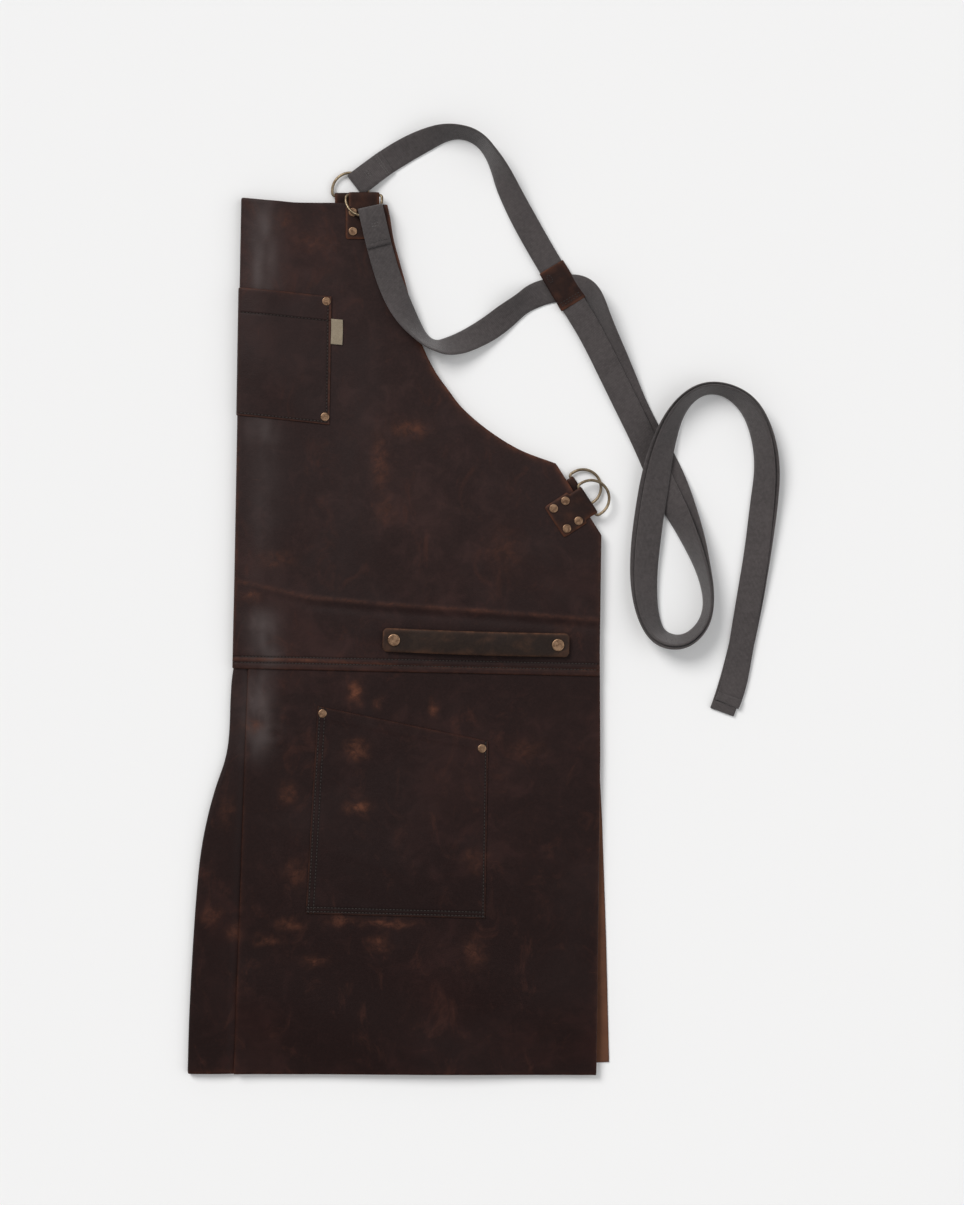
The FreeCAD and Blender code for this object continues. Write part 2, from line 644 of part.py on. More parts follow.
def free_end_hem(name, tip, heading, level):
    """The free end of a strap, folded under and stitched."""
    body = new_body(name)
    slab(body, name + "_outline", [
        ("-1 * strap_wide / 2", "hem_gap"), ("strap_wide / 2", "hem_gap"), ("strap_wide / 2", "hem_long"),
        ("-1 * strap_wide / 2", "hem_long"),
    ], "-1 * strap_thick / 2", "strap_thick")
    body.Placement = Placement(tip, Rotation(UP, heading))
    return body


def heading_of(start, end):
    """The turn about +Z that takes +Y to the way from start to end."""
    return math.degrees(math.atan2(end.y - start.y, end.x - start.x)) - 90


# Where each strap's sewn end hangs on its ring's bow.
BACK_BOW = Vector(-55, 514.2, 3.6)
FRONT_BOW = Vector(-46, 474.3, 17.1)
# The strap of the back ring: over the top, through the keeper, down, round and back up over both straps.
STRAP_A_ROUTE = [Vector(*p) for p in (
    (-26, 533, 3.6), (4, 552, 2.4), (34, 560, 1.2), (62, 553, 1.2), (82, 530, 1.2), (95, 497, 1.6), (117, 454, 4.35),
    (176, 356, 4.35), (206, 295, 2.9), (230, 247, 2.9), (248, 203, 2.9), (268, 165, 2.9), (286, 123, 2.9),
    (293, 89, 2.9), (287, 65, 2.9), (268, 47, 2.9), (244, 51, 2.9), (232, 73, 3.2), (229, 107, 4.6), (232, 149, 6.6),
    (240, 203, 6.6), (248, 245, 6.8), (262, 281, 5.4), (284, 301, 3.2), (309, 301, 2.9), (332, 285, 2.9),
    (345, 257, 2.9), (350, 223, 2.9), (346, 183, 2.9), (341, 137, 2.9), (333, 89, 2.9), (325, 39, 2.9),
    (318, 0, 2.9), (312, -13, 2.9),
)]
# The strap of the front ring: off the bib, under the keeper, then under the other strap all the way.
STRAP_B_ROUTE = [Vector(*p) for p in (
    (-35, 437, 17.1), (-26, 407, 15.6), (-12, 374, 14.4), (10, 347, 13.6), (42, 343, 7.4), (71, 359, 2.4),
    (94, 379, 1.0), (118, 395, 1.0), (149, 405, 1.0), (182, 397, 1.0), (203, 365, 1.0), (220, 317, 1.0),
    (235, 270, 1.0), (254, 221, 1.0), (272, 173, 1.0), (287, 131, 1.0), (295, 91, 1.0), (288, 61, 1.0),
    (268, 43, 1.0), (242, 48, 1.0), (229, 71, 1.4), (226, 107, 2.8), (229, 149, 4.7), (237, 203, 4.7),
    (245, 246, 4.9), (260, 283, 3.5), (283, 304, 1.3), (310, 304, 1.0), (334, 287, 1.0), (348, 258, 1.0),
    (353, 223, 1.0), (349, 182, 1.0), (343, 135, 1.0), (335, 87, 1.0), (327, 37, 1.0), (319, -5, 1.0),
    (312, -20, 1.0),
)]


def straps():
    for name, points in (("strap_a", STRAP_A_ROUTE), ("strap_b", STRAP_B_ROUTE)):
        strap(name, points)
        free_end_hem(name + "_hem", points[-1], heading_of(points[-2], points[-1]), points[-1].z)
    sewn_end("strap_a_sewn_end", BACK_BOW, STRAP_A_ROUTE[0])
    sewn_end("strap_b_sewn_end", FRONT_BOW, STRAP_B_ROUTE[0])


def strap_keeper():
    """The leather sleeve that holds the two straps together where they cross; strap A slides inside it."""
    body = new_body("strap_keeper")
    inner_wide = "strap_wide + 2 * keeper_room"
    inner_tall = "strap_thick + 2 * keeper_room"
    half_long, back_half = "keeper_long / 2", "-1 * keeper_long / 2"
    outer = "keeper_wide / 2"
    slab(body, "keeper_outline", [
        ("-1 * keeper_wide / 2", back_half), (outer, back_half), (outer, half_long),
        ("-1 * keeper_wide / 2", half_long),
    ], "-1 * ( " + inner_tall + " ) / 2 - keeper_hide", inner_tall + " + 2 * keeper_hide")
    cut(body, "keeper_inside", [
        ("-1 * ( " + inner_wide + " ) / 2", back_half + " - 1"),
        ("( " + inner_wide + " ) / 2", back_half + " - 1"),
        ("( " + inner_wide + " ) / 2", half_long + " + 1"),
        ("-1 * ( " + inner_wide + " ) / 2", half_long + " + 1"),
    ], "-1 * ( " + inner_tall + " ) / 2", inner_tall)
    above, below = STRAP_A_ROUTE[6], STRAP_A_ROUTE[7]
    middle = (above + below) * 0.5
    body.Placement = Placement(middle, Rotation(UP, heading_of(below, above)))
    return body


# ---------------------------------------------------------------- the whole apron

bib_panel()
leg_panel_front()
leg_panel_back()
chest_pocket()
leg_pocket()
woven_label()
towel_pieces()
straps()
strap_keeper()
rivets("rivets_chest_pocket", CHEST_POCKET_RIVETS, BIB_FRONT, BIB_TOP + " + pocket_hide")
lower_rivets = rivets("rivets_chest_pocket_back", [
    ("-1 * ( " + x + " )", y) for x, y in CHEST_POCKET_RIVETS
], "-1 * ( " + BACK_LEG_TONGUE + " )", "-1 * ( " + BIB_BACK + " ) + pocket_hide")
lower_rivets.Placement = Placement(ORIGIN, Rotation(Vector(0, 1, 0), 180))
rivets("rivets_leg_pocket", LEG_POCKET_RIVETS, FRONT_LEG, LEG_TOP + " + pocket_hide")

doc.recompute()
faults = [o.Label for o in doc.Objects if "Invalid" in o.State or "Error" in o.State]
pieces = [o for o in doc.Objects if o.TypeId in ("PartDesign::Body", "Part::Feature")]
faults += [o.Label for o in pieces if o.Shape.isNull() or not o.Shape.isValid() or o.Shape.Volume <= 0]
if faults:
    raise SystemExit("faulty pieces: " + ", ".join(faults))

os.makedirs("parts", exist_ok=True)
for piece in pieces:
    piece.Shape.exportStep(f"parts/{piece.Label}.step")
    box = piece.Shape.BoundBox
    print(f"{piece.Label:28s} solids {len(piece.Shape.Solids)} volume {piece.Shape.Volume:10.1f}"
          f" z {box.ZMin:6.2f} {box.ZMax:6.2f}")
print(len(pieces), "pieces")
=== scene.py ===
"""The looks of the butcher apron: leather, stitching, webbing and hardware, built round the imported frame.

Metres, in the part's own frame: +X from the fold to the side edge, +Y from hem to bib, +Z up.
"""

import math

import bmesh
import bpy
import numpy as np
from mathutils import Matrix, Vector, noise
from mathutils.bvhtree import BVHTree


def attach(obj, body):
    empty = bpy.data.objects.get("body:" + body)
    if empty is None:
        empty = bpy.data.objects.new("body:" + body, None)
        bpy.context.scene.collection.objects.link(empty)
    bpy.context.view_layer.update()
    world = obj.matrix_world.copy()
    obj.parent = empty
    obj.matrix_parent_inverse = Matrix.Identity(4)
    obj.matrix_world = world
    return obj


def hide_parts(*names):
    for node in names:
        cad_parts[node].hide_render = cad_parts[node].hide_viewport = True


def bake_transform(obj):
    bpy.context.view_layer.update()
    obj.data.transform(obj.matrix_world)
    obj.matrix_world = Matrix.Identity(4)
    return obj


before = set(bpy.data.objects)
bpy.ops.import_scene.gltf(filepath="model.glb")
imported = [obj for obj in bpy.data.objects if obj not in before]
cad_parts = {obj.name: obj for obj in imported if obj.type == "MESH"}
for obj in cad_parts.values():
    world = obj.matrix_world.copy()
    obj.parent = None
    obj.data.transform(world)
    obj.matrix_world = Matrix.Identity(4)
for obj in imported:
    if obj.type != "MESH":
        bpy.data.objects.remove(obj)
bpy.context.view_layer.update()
MM = 0.001
UP = np.array((0.0, 0.0, 1.0))
# The angles of a fold's columns, from its lower half to its upper one.
FOLD_COLUMNS = 9
HALF_TURN = np.linspace(-math.pi / 2, math.pi / 2, FOLD_COLUMNS + 2)[1:-1]


# ------------ camera, floor and light

VIEW_CENTRE = (0.066, 0.0875)
VIEW_HEIGHT = 1.205
PART_LEVEL = 0.01           # the level at which the view is that tall
CAMERA_UP = 3.2             # the camera's height above it
SENSOR = 36.0
WORLD_LIGHT = 0.36
# Each sun: name, the place that it shines from, its spread in degrees, strength and colour.
SUNS = [
    ("key", (-1.3, 1.5, 1.9), 30.0, 2.05, (1.0, 0.99, 0.98)),
    ("fill", (1.8, -0.2, 1.9), 60.0, 0.82, (0.98, 0.99, 1.0)),
]
FLOOR_HALF = 6.0
PAPER, PAPER_ROUGH = (0.9, 0.9, 0.9, 1.0), 0.95


def add_object(name, data):
    obj = bpy.data.objects.new(name, data)
    bpy.context.scene.collection.objects.link(obj)
    return obj


def set_camera():
    cam = bpy.data.cameras.new("camera")
    cam.sensor_width = SENSOR
    cam.lens = SENSOR * CAMERA_UP / VIEW_HEIGHT
    obj = add_object("camera", cam)
    obj.location = (*VIEW_CENTRE, CAMERA_UP + PART_LEVEL)
    bpy.context.scene.camera = obj


def soft_sun(name, place, spread, strength, colour):
    lamp = bpy.data.lights.new(name, "SUN")
    lamp.angle, lamp.energy, lamp.color = math.radians(spread), strength, colour
    obj = add_object(name, lamp)
    obj.location = place
    obj.rotation_mode = "QUATERNION"
    obj.rotation_quaternion = (-Vector(place)).to_track_quat("-Z", "Y")


def set_stage():
    world = bpy.data.worlds.new("studio")
    bpy.context.scene.world = world
    world.use_nodes = True
    back = world.node_tree.nodes["Background"]
    back.inputs["Color"].default_value = (1.0, 1.0, 1.0, 1.0)
    back.inputs["Strength"].default_value = WORLD_LIGHT
    bpy.context.scene.view_settings.view_transform = "Standard"
    for sun in SUNS:
        soft_sun(*sun)
    bm = bmesh.new()
    bmesh.ops.create_grid(bm, x_segments=1, y_segments=1, size=FLOOR_HALF)
    data = bpy.data.meshes.new("floor")
    bm.to_mesh(data)
    bm.free()
    floor = add_object("floor", data)
    mat = bpy.data.materials.new("floor_paper")
    mat.use_nodes = True
    shader = mat.node_tree.nodes["Principled BSDF"]
    shader.inputs["Base Color"].default_value = PAPER
    shader.inputs["Roughness"].default_value = PAPER_ROUGH
    data.materials.append(mat)


set_camera()
set_stage()


# ------------ small maths

def unit(a):
    return a / np.maximum(np.linalg.norm(a, axis=-1, keepdims=True), 1e-12)


def clamp(t):
    return np.clip(t, 0, 1)


def smooth(t):
    t = clamp(t)
    return t * t * (3 - 2 * t)


def bell(away, half):
    """1 where away is 0, and almost 0 at twice half of it."""
    return np.exp(-(away / half) ** 2)


def arc_lengths(points):
    steps = np.linalg.norm(np.diff(points, axis=0), axis=1)
    return np.concatenate(([0.0], np.cumsum(steps)))


def along(points, where):
    """Points at the given distances along a polyline."""
    lengths = arc_lengths(points)
    return np.stack([np.interp(where, lengths, points[:, k]) for k in range(points.shape[1])], axis=1)


def at_shares(points, shares):
    """Points at the given shares, 0 to 1, of a polyline's length."""
    points = np.array(points, float)
    return along(points, shares * arc_lengths(points)[-1])


def in_metres(rows, lengths):
    """Rows of numbers with their first ones, lengths in millimetres, turned to metres."""
    return [tuple(v / 1000 for v in row[:lengths]) + row[lengths:] for row in rows]


def through(points, count):
    """A smooth line through a few points (Catmull-Rom), with count steps from each to the next."""
    p = np.array(points, float)
    p = np.vstack((2 * p[0] - p[1], p, 2 * p[-1] - p[-2]))
    t = np.linspace(0, 1, count, endpoint=False)[:, None]
    out = []
    for a, b, c, d in zip(p[:-3], p[1:-2], p[2:-1], p[3:]):
        square = (2 * a - 5 * b + 4 * c - d) * t ** 2
        out.append(0.5 * (2 * b + (c - a) * t + square + (3 * b - a - 3 * c + d) * t ** 3))
    return np.vstack(out + [p[-2:-1]])


def noise_at(x, y, scale, seed):
    """Smooth noise from -1 to 1 for arrays of x and y; scale is its cell size."""
    flat = [noise.noise(Vector((a / scale, b / scale, seed))) for a, b in zip(np.ravel(x), np.ravel(y))]
    return np.array(flat).reshape(np.shape(x))


def turned(x, y, turn, centre):
    """Arrays x and y turned by an angle in radians, then moved to a centre."""
    c, s = math.cos(turn), math.sin(turn)
    return centre[0] + x * c - y * s, centre[1] + x * s + y * c


# ------------ material helpers

class Nodes:
    """A short way to write a material's node tree."""

    def __init__(self, name):
        self.mat = bpy.data.materials.new(name)
        self.mat.use_nodes = True
        self.tree = self.mat.node_tree
        self.shader = self.tree.nodes["Principled BSDF"]

    def put(self, socket, value):
        if isinstance(value, bpy.types.NodeSocket):
            self.tree.links.new(value, socket)
        else:
            socket.default_value = value

    def add(self, kind, inputs, **values):
        node = self.tree.nodes.new(kind)
        for key, value in values.items():
            setattr(node, key, value)
        for key, value in inputs.items():
            self.put(node.inputs[key], value)
        return node

    def place(self, scale=(1, 1, 1), turn=0.0):
        coord = self.add("ShaderNodeTexCoord", {})
        return self.add("ShaderNodeMapping", {"Vector": coord.outputs["Object"], "Scale": scale,
                                              "Rotation": (0, 0, math.radians(turn))}).outputs["Vector"]

    def noise(self, scale, detail, roughness, where=None, distortion=0.0):
        return self.add("ShaderNodeTexNoise", {
            "Vector": where or self.place(), "Scale": scale, "Detail": detail, "Roughness": roughness,
            "Distortion": distortion}).outputs["Fac"]

    def cells(self, scale, where):
        return self.add("ShaderNodeTexVoronoi", {"Vector": where, "Scale": scale}).outputs["Distance"]

    def ramp(self, value, low, high, to_low=0.0, to_high=1.0):
        """A value eased from to_low to to_high between low and high."""
        return self.add("ShaderNodeMapRange", {
            "Value": value, "From Min": low, "From Max": high, "To Min": to_low, "To Max": to_high},
            interpolation_type="SMOOTHSTEP").outputs["Result"]

    def maths(self, kind, a, b):
        return self.add("ShaderNodeMath", {0: a, 1: b}, operation=kind).outputs["Value"]

    def plus(self, a, b):
        return self.maths("ADD", a, b)

    def times(self, a, b):
        return self.maths("MULTIPLY", a, b)

    def mix(self, share, a, b):
        a, b = (c if isinstance(c, bpy.types.NodeSocket) else (*c, 1.0) for c in (a, b))
        return self.add("ShaderNodeMix", {"Factor": share, 6: a, 7: b}, data_type="RGBA").outputs[2]

    def drawn(self, name):
        """A value that the mesh carries at each vertex."""
        return self.add("ShaderNodeAttribute", {}, attribute_name=name).outputs["Fac"]

    def done(self, colour, rough, layers):
        """Sets colour, roughness and bump, which is (height, depth in metres, strength) layers in turn."""
        self.put(self.shader.inputs["Base Color"], colour)
        self.put(self.shader.inputs["Roughness"], rough)
        normal = None
        for height, depth, strength in layers:
            node = self.add("ShaderNodeBump", {"Strength": strength, "Distance": depth, "Height": height})
            if normal:
                self.put(node.inputs["Normal"], normal)
            normal = node.outputs["Normal"]
        self.put(self.shader.inputs["Normal"], normal)
        return self.mat


GREY_SHEEN_PAINT = (0.026, 0.018, 0.0175)         # painted grey sheen on the grain, in broad patches
FOLD_SHEEN_PAINT = (0.08, 0.063, 0.061)    # brighter painted sheen beside the fold, where the leather swells
WARM_SHARES = (0.8, 0.72, 0.72)         # what the warm patches keep of the middle of brown and rust
LOW_DARKENING_SHARES = (0.46, 0.29, 0.26)        # how much of its colour the leather keeps where it is made darker towards the bottom
GROOVE = (0.0035, 0.0018, 0.0015)       # the shade in a stitched groove
GROOVE_SHARE = 0.8
LEATHER_SHINE = 0.12


def leather(name, dark, brown, rust, rough=0.46):
    """Waxed pull-up leather: dark grain, lighter and redder where it has been bent, rubbed or cut, with painted
    grey sheen in patches and beside the fold, and darker towards the bottom where the mesh says so.
    """
    n = Nodes(name)
    warmer = [0.5 * (b + r) * share for b, r, share in zip(brown, rust, WARM_SHARES)]
    # Darker towards the bottom, where the mesh says so.
    deep = n.drawn("deep")
    dark, brown = (n.mix(deep, c, [share * v for share, v in zip(LOW_DARKENING_SHARES, c)]) for c in (dark, brown))

    # The grain, from broad clouds to fine speckles.
    broad = n.ramp(n.noise(7.0, 5.0, 0.6, distortion=0.4), 0.38, 0.68)
    cloud = n.ramp(n.noise(38.0, 7.0, 0.68, distortion=0.6), 0.42, 0.75)
    fine = n.noise(420.0, 5.0, 0.7)
    colour = n.mix(n.ramp(n.plus(n.times(broad, 0.6), n.times(cloud, 0.55)), 0.1, 1.0), dark, brown)
    colour = n.mix(n.ramp(fine, 0.35, 0.75, 0.0, 0.35), colour, brown)
    warm = n.ramp(n.noise(21.0, 7.0, 0.7, n.place((1.6, 1, 1), 20.0), 0.9), 0.53, 0.74, 0.0, 0.36)
    colour = n.mix(warm, colour, warmer)

    # Painted grey sheen in broad patches, long scratches two ways, and rust spots.
    bloom = n.ramp(n.noise(5.5, 6.0, 0.62, n.place((1, 1, 1), 40.0), 0.7), 0.46, 0.7, 0.0, 0.42)
    bloom = n.times(bloom, n.maths("SUBTRACT", 1.0, n.times(deep, 0.85)))
    colour = n.mix(bloom, colour, GREY_SHEEN_PAINT)
    one_way = n.ramp(n.noise(26.0, 3.0, 0.6, n.place((1, 22, 1), 34.0)), 0.7, 0.8)
    other_way = n.ramp(n.noise(22.0, 3.0, 0.6, n.place((20, 1, 1), 12.0)), 0.71, 0.82)
    scratch = n.times(n.maths("MAXIMUM", one_way, other_way), 0.55)
    colour = n.mix(n.times(scratch, cloud), colour, rust)
    spots = n.ramp(n.noise(17.0, 8.0, 0.72, distortion=1.2), 0.675, 0.8, 0.0, 0.45)
    colour = n.mix(spots, colour, rust)

    # What the mesh carries: painted sheen beside the fold, rubbed marks, cut edges with a painted highlight on the
    # towel loop's upper edge, and grooves.
    colour = n.mix(n.times(n.drawn("bloom"), n.ramp(cloud, 0.0, 1.0, 0.75, 1.0)), colour, FOLD_SHEEN_PAINT)
    for carried, scale, detail, coarse, distortion, low, high, least in (
            ("pull", 120.0, 6.0, 0.75, 0.8, 0.36, 0.62, 0.25),
            ("edge", 90.0, 4.0, 0.7, 0.0, 0.35, 0.65, 0.3)):
        broken = n.ramp(n.noise(scale, detail, coarse, distortion=distortion), low, high, least, 1.0)
        colour = n.mix(n.times(n.drawn(carried), broken), colour, rust)
    colour = n.mix(n.times(n.drawn("groove"), GROOVE_SHARE), colour, GROOVE)

    n.shader.inputs["Specular IOR Level"].default_value = LEATHER_SHINE
    return n.done(colour, n.ramp(n.plus(n.times(cloud, 0.6), fine), 0.3, 1.3, rough, rough + 0.2), [
        (n.noise(55.0, 4.0, 0.6), 0.0012, 0.35),
        (n.cells(620.0, n.place((1, 1.25, 1))), 0.00025, 0.35),
        (n.noise(1500.0, 3.0, 0.6), 0.00012, 0.3),
    ])


def suede(name):
    """The leather's flesh side, rust brown with a short nap."""
    n = Nodes(name)
    nap = n.noise(900.0, 4.0, 0.7)
    broad = n.noise(24.0, 5.0, 0.6)
    colour = n.mix(n.ramp(broad, 0.3, 0.7), (0.075, 0.026, 0.012), (0.125, 0.046, 0.02))
    colour = n.mix(n.ramp(nap, 0.35, 0.7, 0.0, 0.5), colour, (0.16, 0.065, 0.03))
    return n.done(colour, n.ramp(nap, 0.3, 0.7, 0.82, 0.98), [(nap, 0.0004, 0.6)])


def woven(name, dark, light, pitch):
    """A fine plain weave that runs with the piece's own UV map, in metres."""
    n = Nodes(name)
    uv = n.add("ShaderNodeUVMap", {}, uv_map="weave").outputs["UV"]
    split = n.add("ShaderNodeSeparateXYZ", {0: uv})
    turns = 2 * math.pi / pitch
    warp = n.maths("SINE", n.times(split.outputs["Y"], turns), 0.0)
    twill = n.maths("SINE", n.times(n.plus(split.outputs["X"], split.outputs["Y"]), turns), 0.0)
    yarn = n.plus(n.times(warp, 0.5), n.times(twill, 0.5))
    heather = n.noise(260.0, 4.0, 0.7)
    cloud = n.noise(18.0, 4.0, 0.6)
    colour = n.mix(n.ramp(yarn, -0.8, 0.9), dark, light)
    colour = n.mix(n.ramp(heather, 0.3, 0.75, 0.0, 0.55), colour, dark)
    colour = n.mix(n.ramp(cloud, 0.4, 0.75, 0.0, 0.3), colour, light)
    n.shader.inputs["Sheen Weight"].default_value = 0.25
    n.shader.inputs["Sheen Roughness"].default_value = 0.5
    return n.done(colour, n.ramp(heather, 0.3, 0.7, 0.82, 0.96),
                  [(yarn, 0.00025, 0.7), (heather, 0.0002, 0.4)])


def metal(name, bright, dull, rough):
    """Antique plated metal, rubbed bright in places and dull with patina in others."""
    n = Nodes(name)
    patina = n.ramp(n.noise(230.0, 6.0, 0.7, distortion=0.5), 0.36, 0.66)
    n.shader.inputs["Metallic"].default_value = 1.0
    tarnish = n.ramp(n.noise(600.0, 4.0, 0.6), 0.3, 0.7, rough, rough + 0.18)
    return n.done(n.mix(patina, bright, dull), tarnish, [(n.noise(900.0, 3.0, 0.6), 0.00008, 0.3)])


def sewing(name, dark, light):
    n = Nodes(name)
    strand = n.noise(1600.0, 3.0, 0.6)
    return n.done(n.mix(n.ramp(strand, 0.3, 0.7), dark, light), n.ramp(strand, 0.3, 0.7, 0.6, 0.8),
                  [(strand, 0.00015, 0.5)])


LEATHER = leather("leather_grain", (0.0192, 0.01, 0.0092), (0.0385, 0.019, 0.017), (0.125, 0.044, 0.024))
POCKET = leather("leather_pocket", (0.0182, 0.0095, 0.0088), (0.0345, 0.0172, 0.0155), (0.11, 0.04, 0.022))
TABS = leather("leather_tabs", (0.015, 0.0066, 0.0052), (0.034, 0.015, 0.0108), (0.11, 0.04, 0.021), 0.5)
TOWEL = leather("leather_towel", (0.0165, 0.01, 0.0078), (0.034, 0.021, 0.0145), (0.11, 0.05, 0.028), 0.5)
FLESH = suede("leather_flesh")
WEBBING = woven("webbing_grey", (0.03, 0.025, 0.025), (0.098, 0.082, 0.081), 1.3 * MM)
LABEL = woven("label_tape", (0.2, 0.16, 0.105), (0.38, 0.31, 0.22), 0.9 * MM)
BRASS = metal("antique_brass", (0.3, 0.235, 0.155), (0.125, 0.09, 0.058), 0.34)
COPPER = metal("antique_copper", (0.4, 0.25, 0.155), (0.15, 0.085, 0.052), 0.32)
THREAD = sewing("thread_brown", (0.012, 0.008, 0.007), (0.03, 0.018, 0.014))
THREAD_GREY = sewing("thread_grey", (0.07, 0.064, 0.062), (0.15, 0.14, 0.135))


# ------------ mesh helpers

def mesh_object(name, verts, faces, materials, which=None, uv=None, values=None):
    data = bpy.data.meshes.new(name)
    data.from_pydata([tuple(v) for v in verts], [], faces)
    for material in materials:
        data.materials.append(material)
    if which is not None:
        data.polygons.foreach_set("material_index", which)
    data.polygons.foreach_set("use_smooth", [True] * len(faces))
    for key, numbers in (values or {}).items():
        attribute = data.attributes.new(key, "FLOAT", "POINT")
        attribute.data.foreach_set("value", np.asarray(numbers, np.float32))
    if uv is not None:
        layer = data.uv_layers.new(name="weave")
        corner = np.zeros(len(data.loops), int)
        data.loops.foreach_get("vertex_index", corner)
        layer.data.foreach_set("uv", np.asarray(uv, np.float32)[corner].ravel())
    data.validate()
    data.update()
    return add_object(name, data)


def tube_faces(base, rings, sides):
    """Faces of a tube of rings of vertices from the base vertex on, closed at both ends."""
    last = base + (rings - 1) * sides
    faces = []
    for start in range(base, last, sides):
        for k in range(sides):
            p, q = start + k, start + (k + 1) % sides
            faces.append((p, q, q + sides, p + sides))
    return faces + [tuple(range(base + sides - 1, base - 1, -1)), tuple(range(last, last + sides))]


RIM_THIN, RIM_OUT = 0.62, 0.22      # of the thickness: left at the border, and how far the rim stands out
RIM_CUT = 0.9                       # how raw the cut rim looks


def sheet_piece(name, mid, thick, materials, uv=None, **carried):
    """A sheet of even thickness round a grid of middle points, with softly rounded cut edges.

    materials is (outer, inner): the outer side is on the grid's normal. The rim takes the outer one.
    carried is arrays of what leather() reads: painted sheen beside the fold, pull, groove, darkening towards the
    bottom and cut edge with its painted highlight, each 0 if it is left out.
    """
    rows, cols = mid.shape[:2]
    half = np.full((rows, cols, 1), thick / 2 * RIM_THIN)
    half[1:-1, 1:-1] = thick / 2
    lift = unit(np.cross(np.gradient(mid, axis=1), np.gradient(mid, axis=0))) * half
    ring = [(0, j) for j in range(cols)] + [(i, cols - 1) for i in range(1, rows)]
    ring += [(rows - 1, j) for j in range(cols - 2, -1, -1)] + [(i, 0) for i in range(rows - 2, 0, -1)]
    count = rows * cols
    rim_points = []
    for i, j in ring:
        away = mid[i, j] - mid[min(max(i, 1), rows - 2), min(max(j, 1), cols - 2)]
        away = away / max(np.linalg.norm(away), 1e-9)
        rim_points.append(mid[i, j] + away * thick * RIM_OUT)
    verts = np.vstack(((mid + lift).reshape(-1, 3), (mid - lift).reshape(-1, 3), np.array(rim_points)))
    faces, which = [], []
    for i in range(rows - 1):
        for j in range(cols - 1):
            a = i * cols + j
            faces.append((a, a + 1, a + cols + 1, a + cols))
            faces.append((count + a, count + a + cols, count + a + cols + 1, count + a + 1))
            which += [0, len(materials) - 1]
    last = len(ring)
    for k in range(last):
        (i0, j0), (i1, j1) = ring[k], ring[(k + 1) % last]
        a, b = i0 * cols + j0, i1 * cols + j1
        ra, rb = 2 * count + k, 2 * count + (k + 1) % last
        faces.append((b, a, ra, rb))
        faces.append((rb, ra, count + a, count + b))
        which += [0, 0]
    values = {}
    for title in ("bloom", "pull", "groove", "deep", "edge"):
        side = carried[title].ravel() if title in carried else np.zeros(count)
        values[title] = np.concatenate((side, side, np.full(last, RIM_CUT if title == "edge" else 0)))
    if uv is not None:
        rim_uv = np.array([uv[i, j] for i, j in ring])
        uv = np.vstack((uv.reshape(-1, 2), uv.reshape(-1, 2), rim_uv))
    return mesh_object(name, verts, faces, materials, which, uv, values)


def settle(obj, body, slot, *nodes):
    """Puts a piece on its body, and in place of its CAD nodes if it has any; its slot is not used."""
    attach(obj, body)
    if nodes:
        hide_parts(*nodes)


CAST_FROM = 0.2


def surface_of(obj):
    """Casts straight down on to a mesh: gives the point and normal under (x, y)."""
    tree = BVHTree.FromPolygons([v.co for v in obj.data.vertices], [p.vertices for p in obj.data.polygons])

    def under(x, y):
        place, normal, _, _ = tree.ray_cast(Vector((x, y, CAST_FROM)), Vector((0, 0, -1)))
        if place is None:
            return None
        return np.array(place), np.array(normal if normal.z > 0 else -normal)
    return under


STITCH_SHARE = 0.74                                 # of the pitch that a thread covers
STITCH_THICK, STITCH_PROUD = 0.5 * MM, 0.15 * MM


def stitch_row(points, pitch, skin, shift=0.0):
    """Threads along a line of (x, y) points, each one pressed a little into the surface."""
    points = np.array(points, float)
    total = arc_lengths(points)[-1]
    count = max(2, int(total / pitch))
    spots = []
    for k in range(count):
        middle = (k + 0.5 + shift) * total / count
        a, b = along(points, [middle - pitch * STITCH_SHARE / 2, middle + pitch * STITCH_SHARE / 2])
        low, high = skin(*a), skin(*b)
        if low is None or high is None:
            continue
        up = unit(low[1] + high[1])
        spots.append((low[0] + up * STITCH_PROUD, high[0] + up * STITCH_PROUD, up, STITCH_THICK))
    return spots


THREAD_SIDES = 6
# A thread's rings: share along it, fatness and lift, in thicknesses.
THREAD_RINGS = ((-0.5, 0.25, -0.5), (-0.36, 0.8, 0.0), (0.0, 1.0, 0.25), (0.36, 0.8, 0.0), (0.5, 0.25, -0.5))


def thread_mesh(name, spots, material=THREAD):
    """One mesh of short rounded threads, each from a to b on a surface with normal up."""
    verts, faces = [], []
    for a, b, up, thick in spots:
        line = b - a
        middle = (a + b) / 2
        side = unit(np.cross(unit(line), up))
        base = len(verts)
        for share, fat, lift in THREAD_RINGS:
            centre = middle + line * share + up * thick * lift
            for k in range(THREAD_SIDES):
                turn = 2 * math.pi * k / THREAD_SIDES
                verts.append(centre + (side * math.cos(turn) + up * math.sin(turn) * 0.7) * thick * fat)
        faces += tube_faces(base, len(THREAD_RINGS), THREAD_SIDES)
    return mesh_object(name, verts, faces, [material])


# ------------ webbing straps

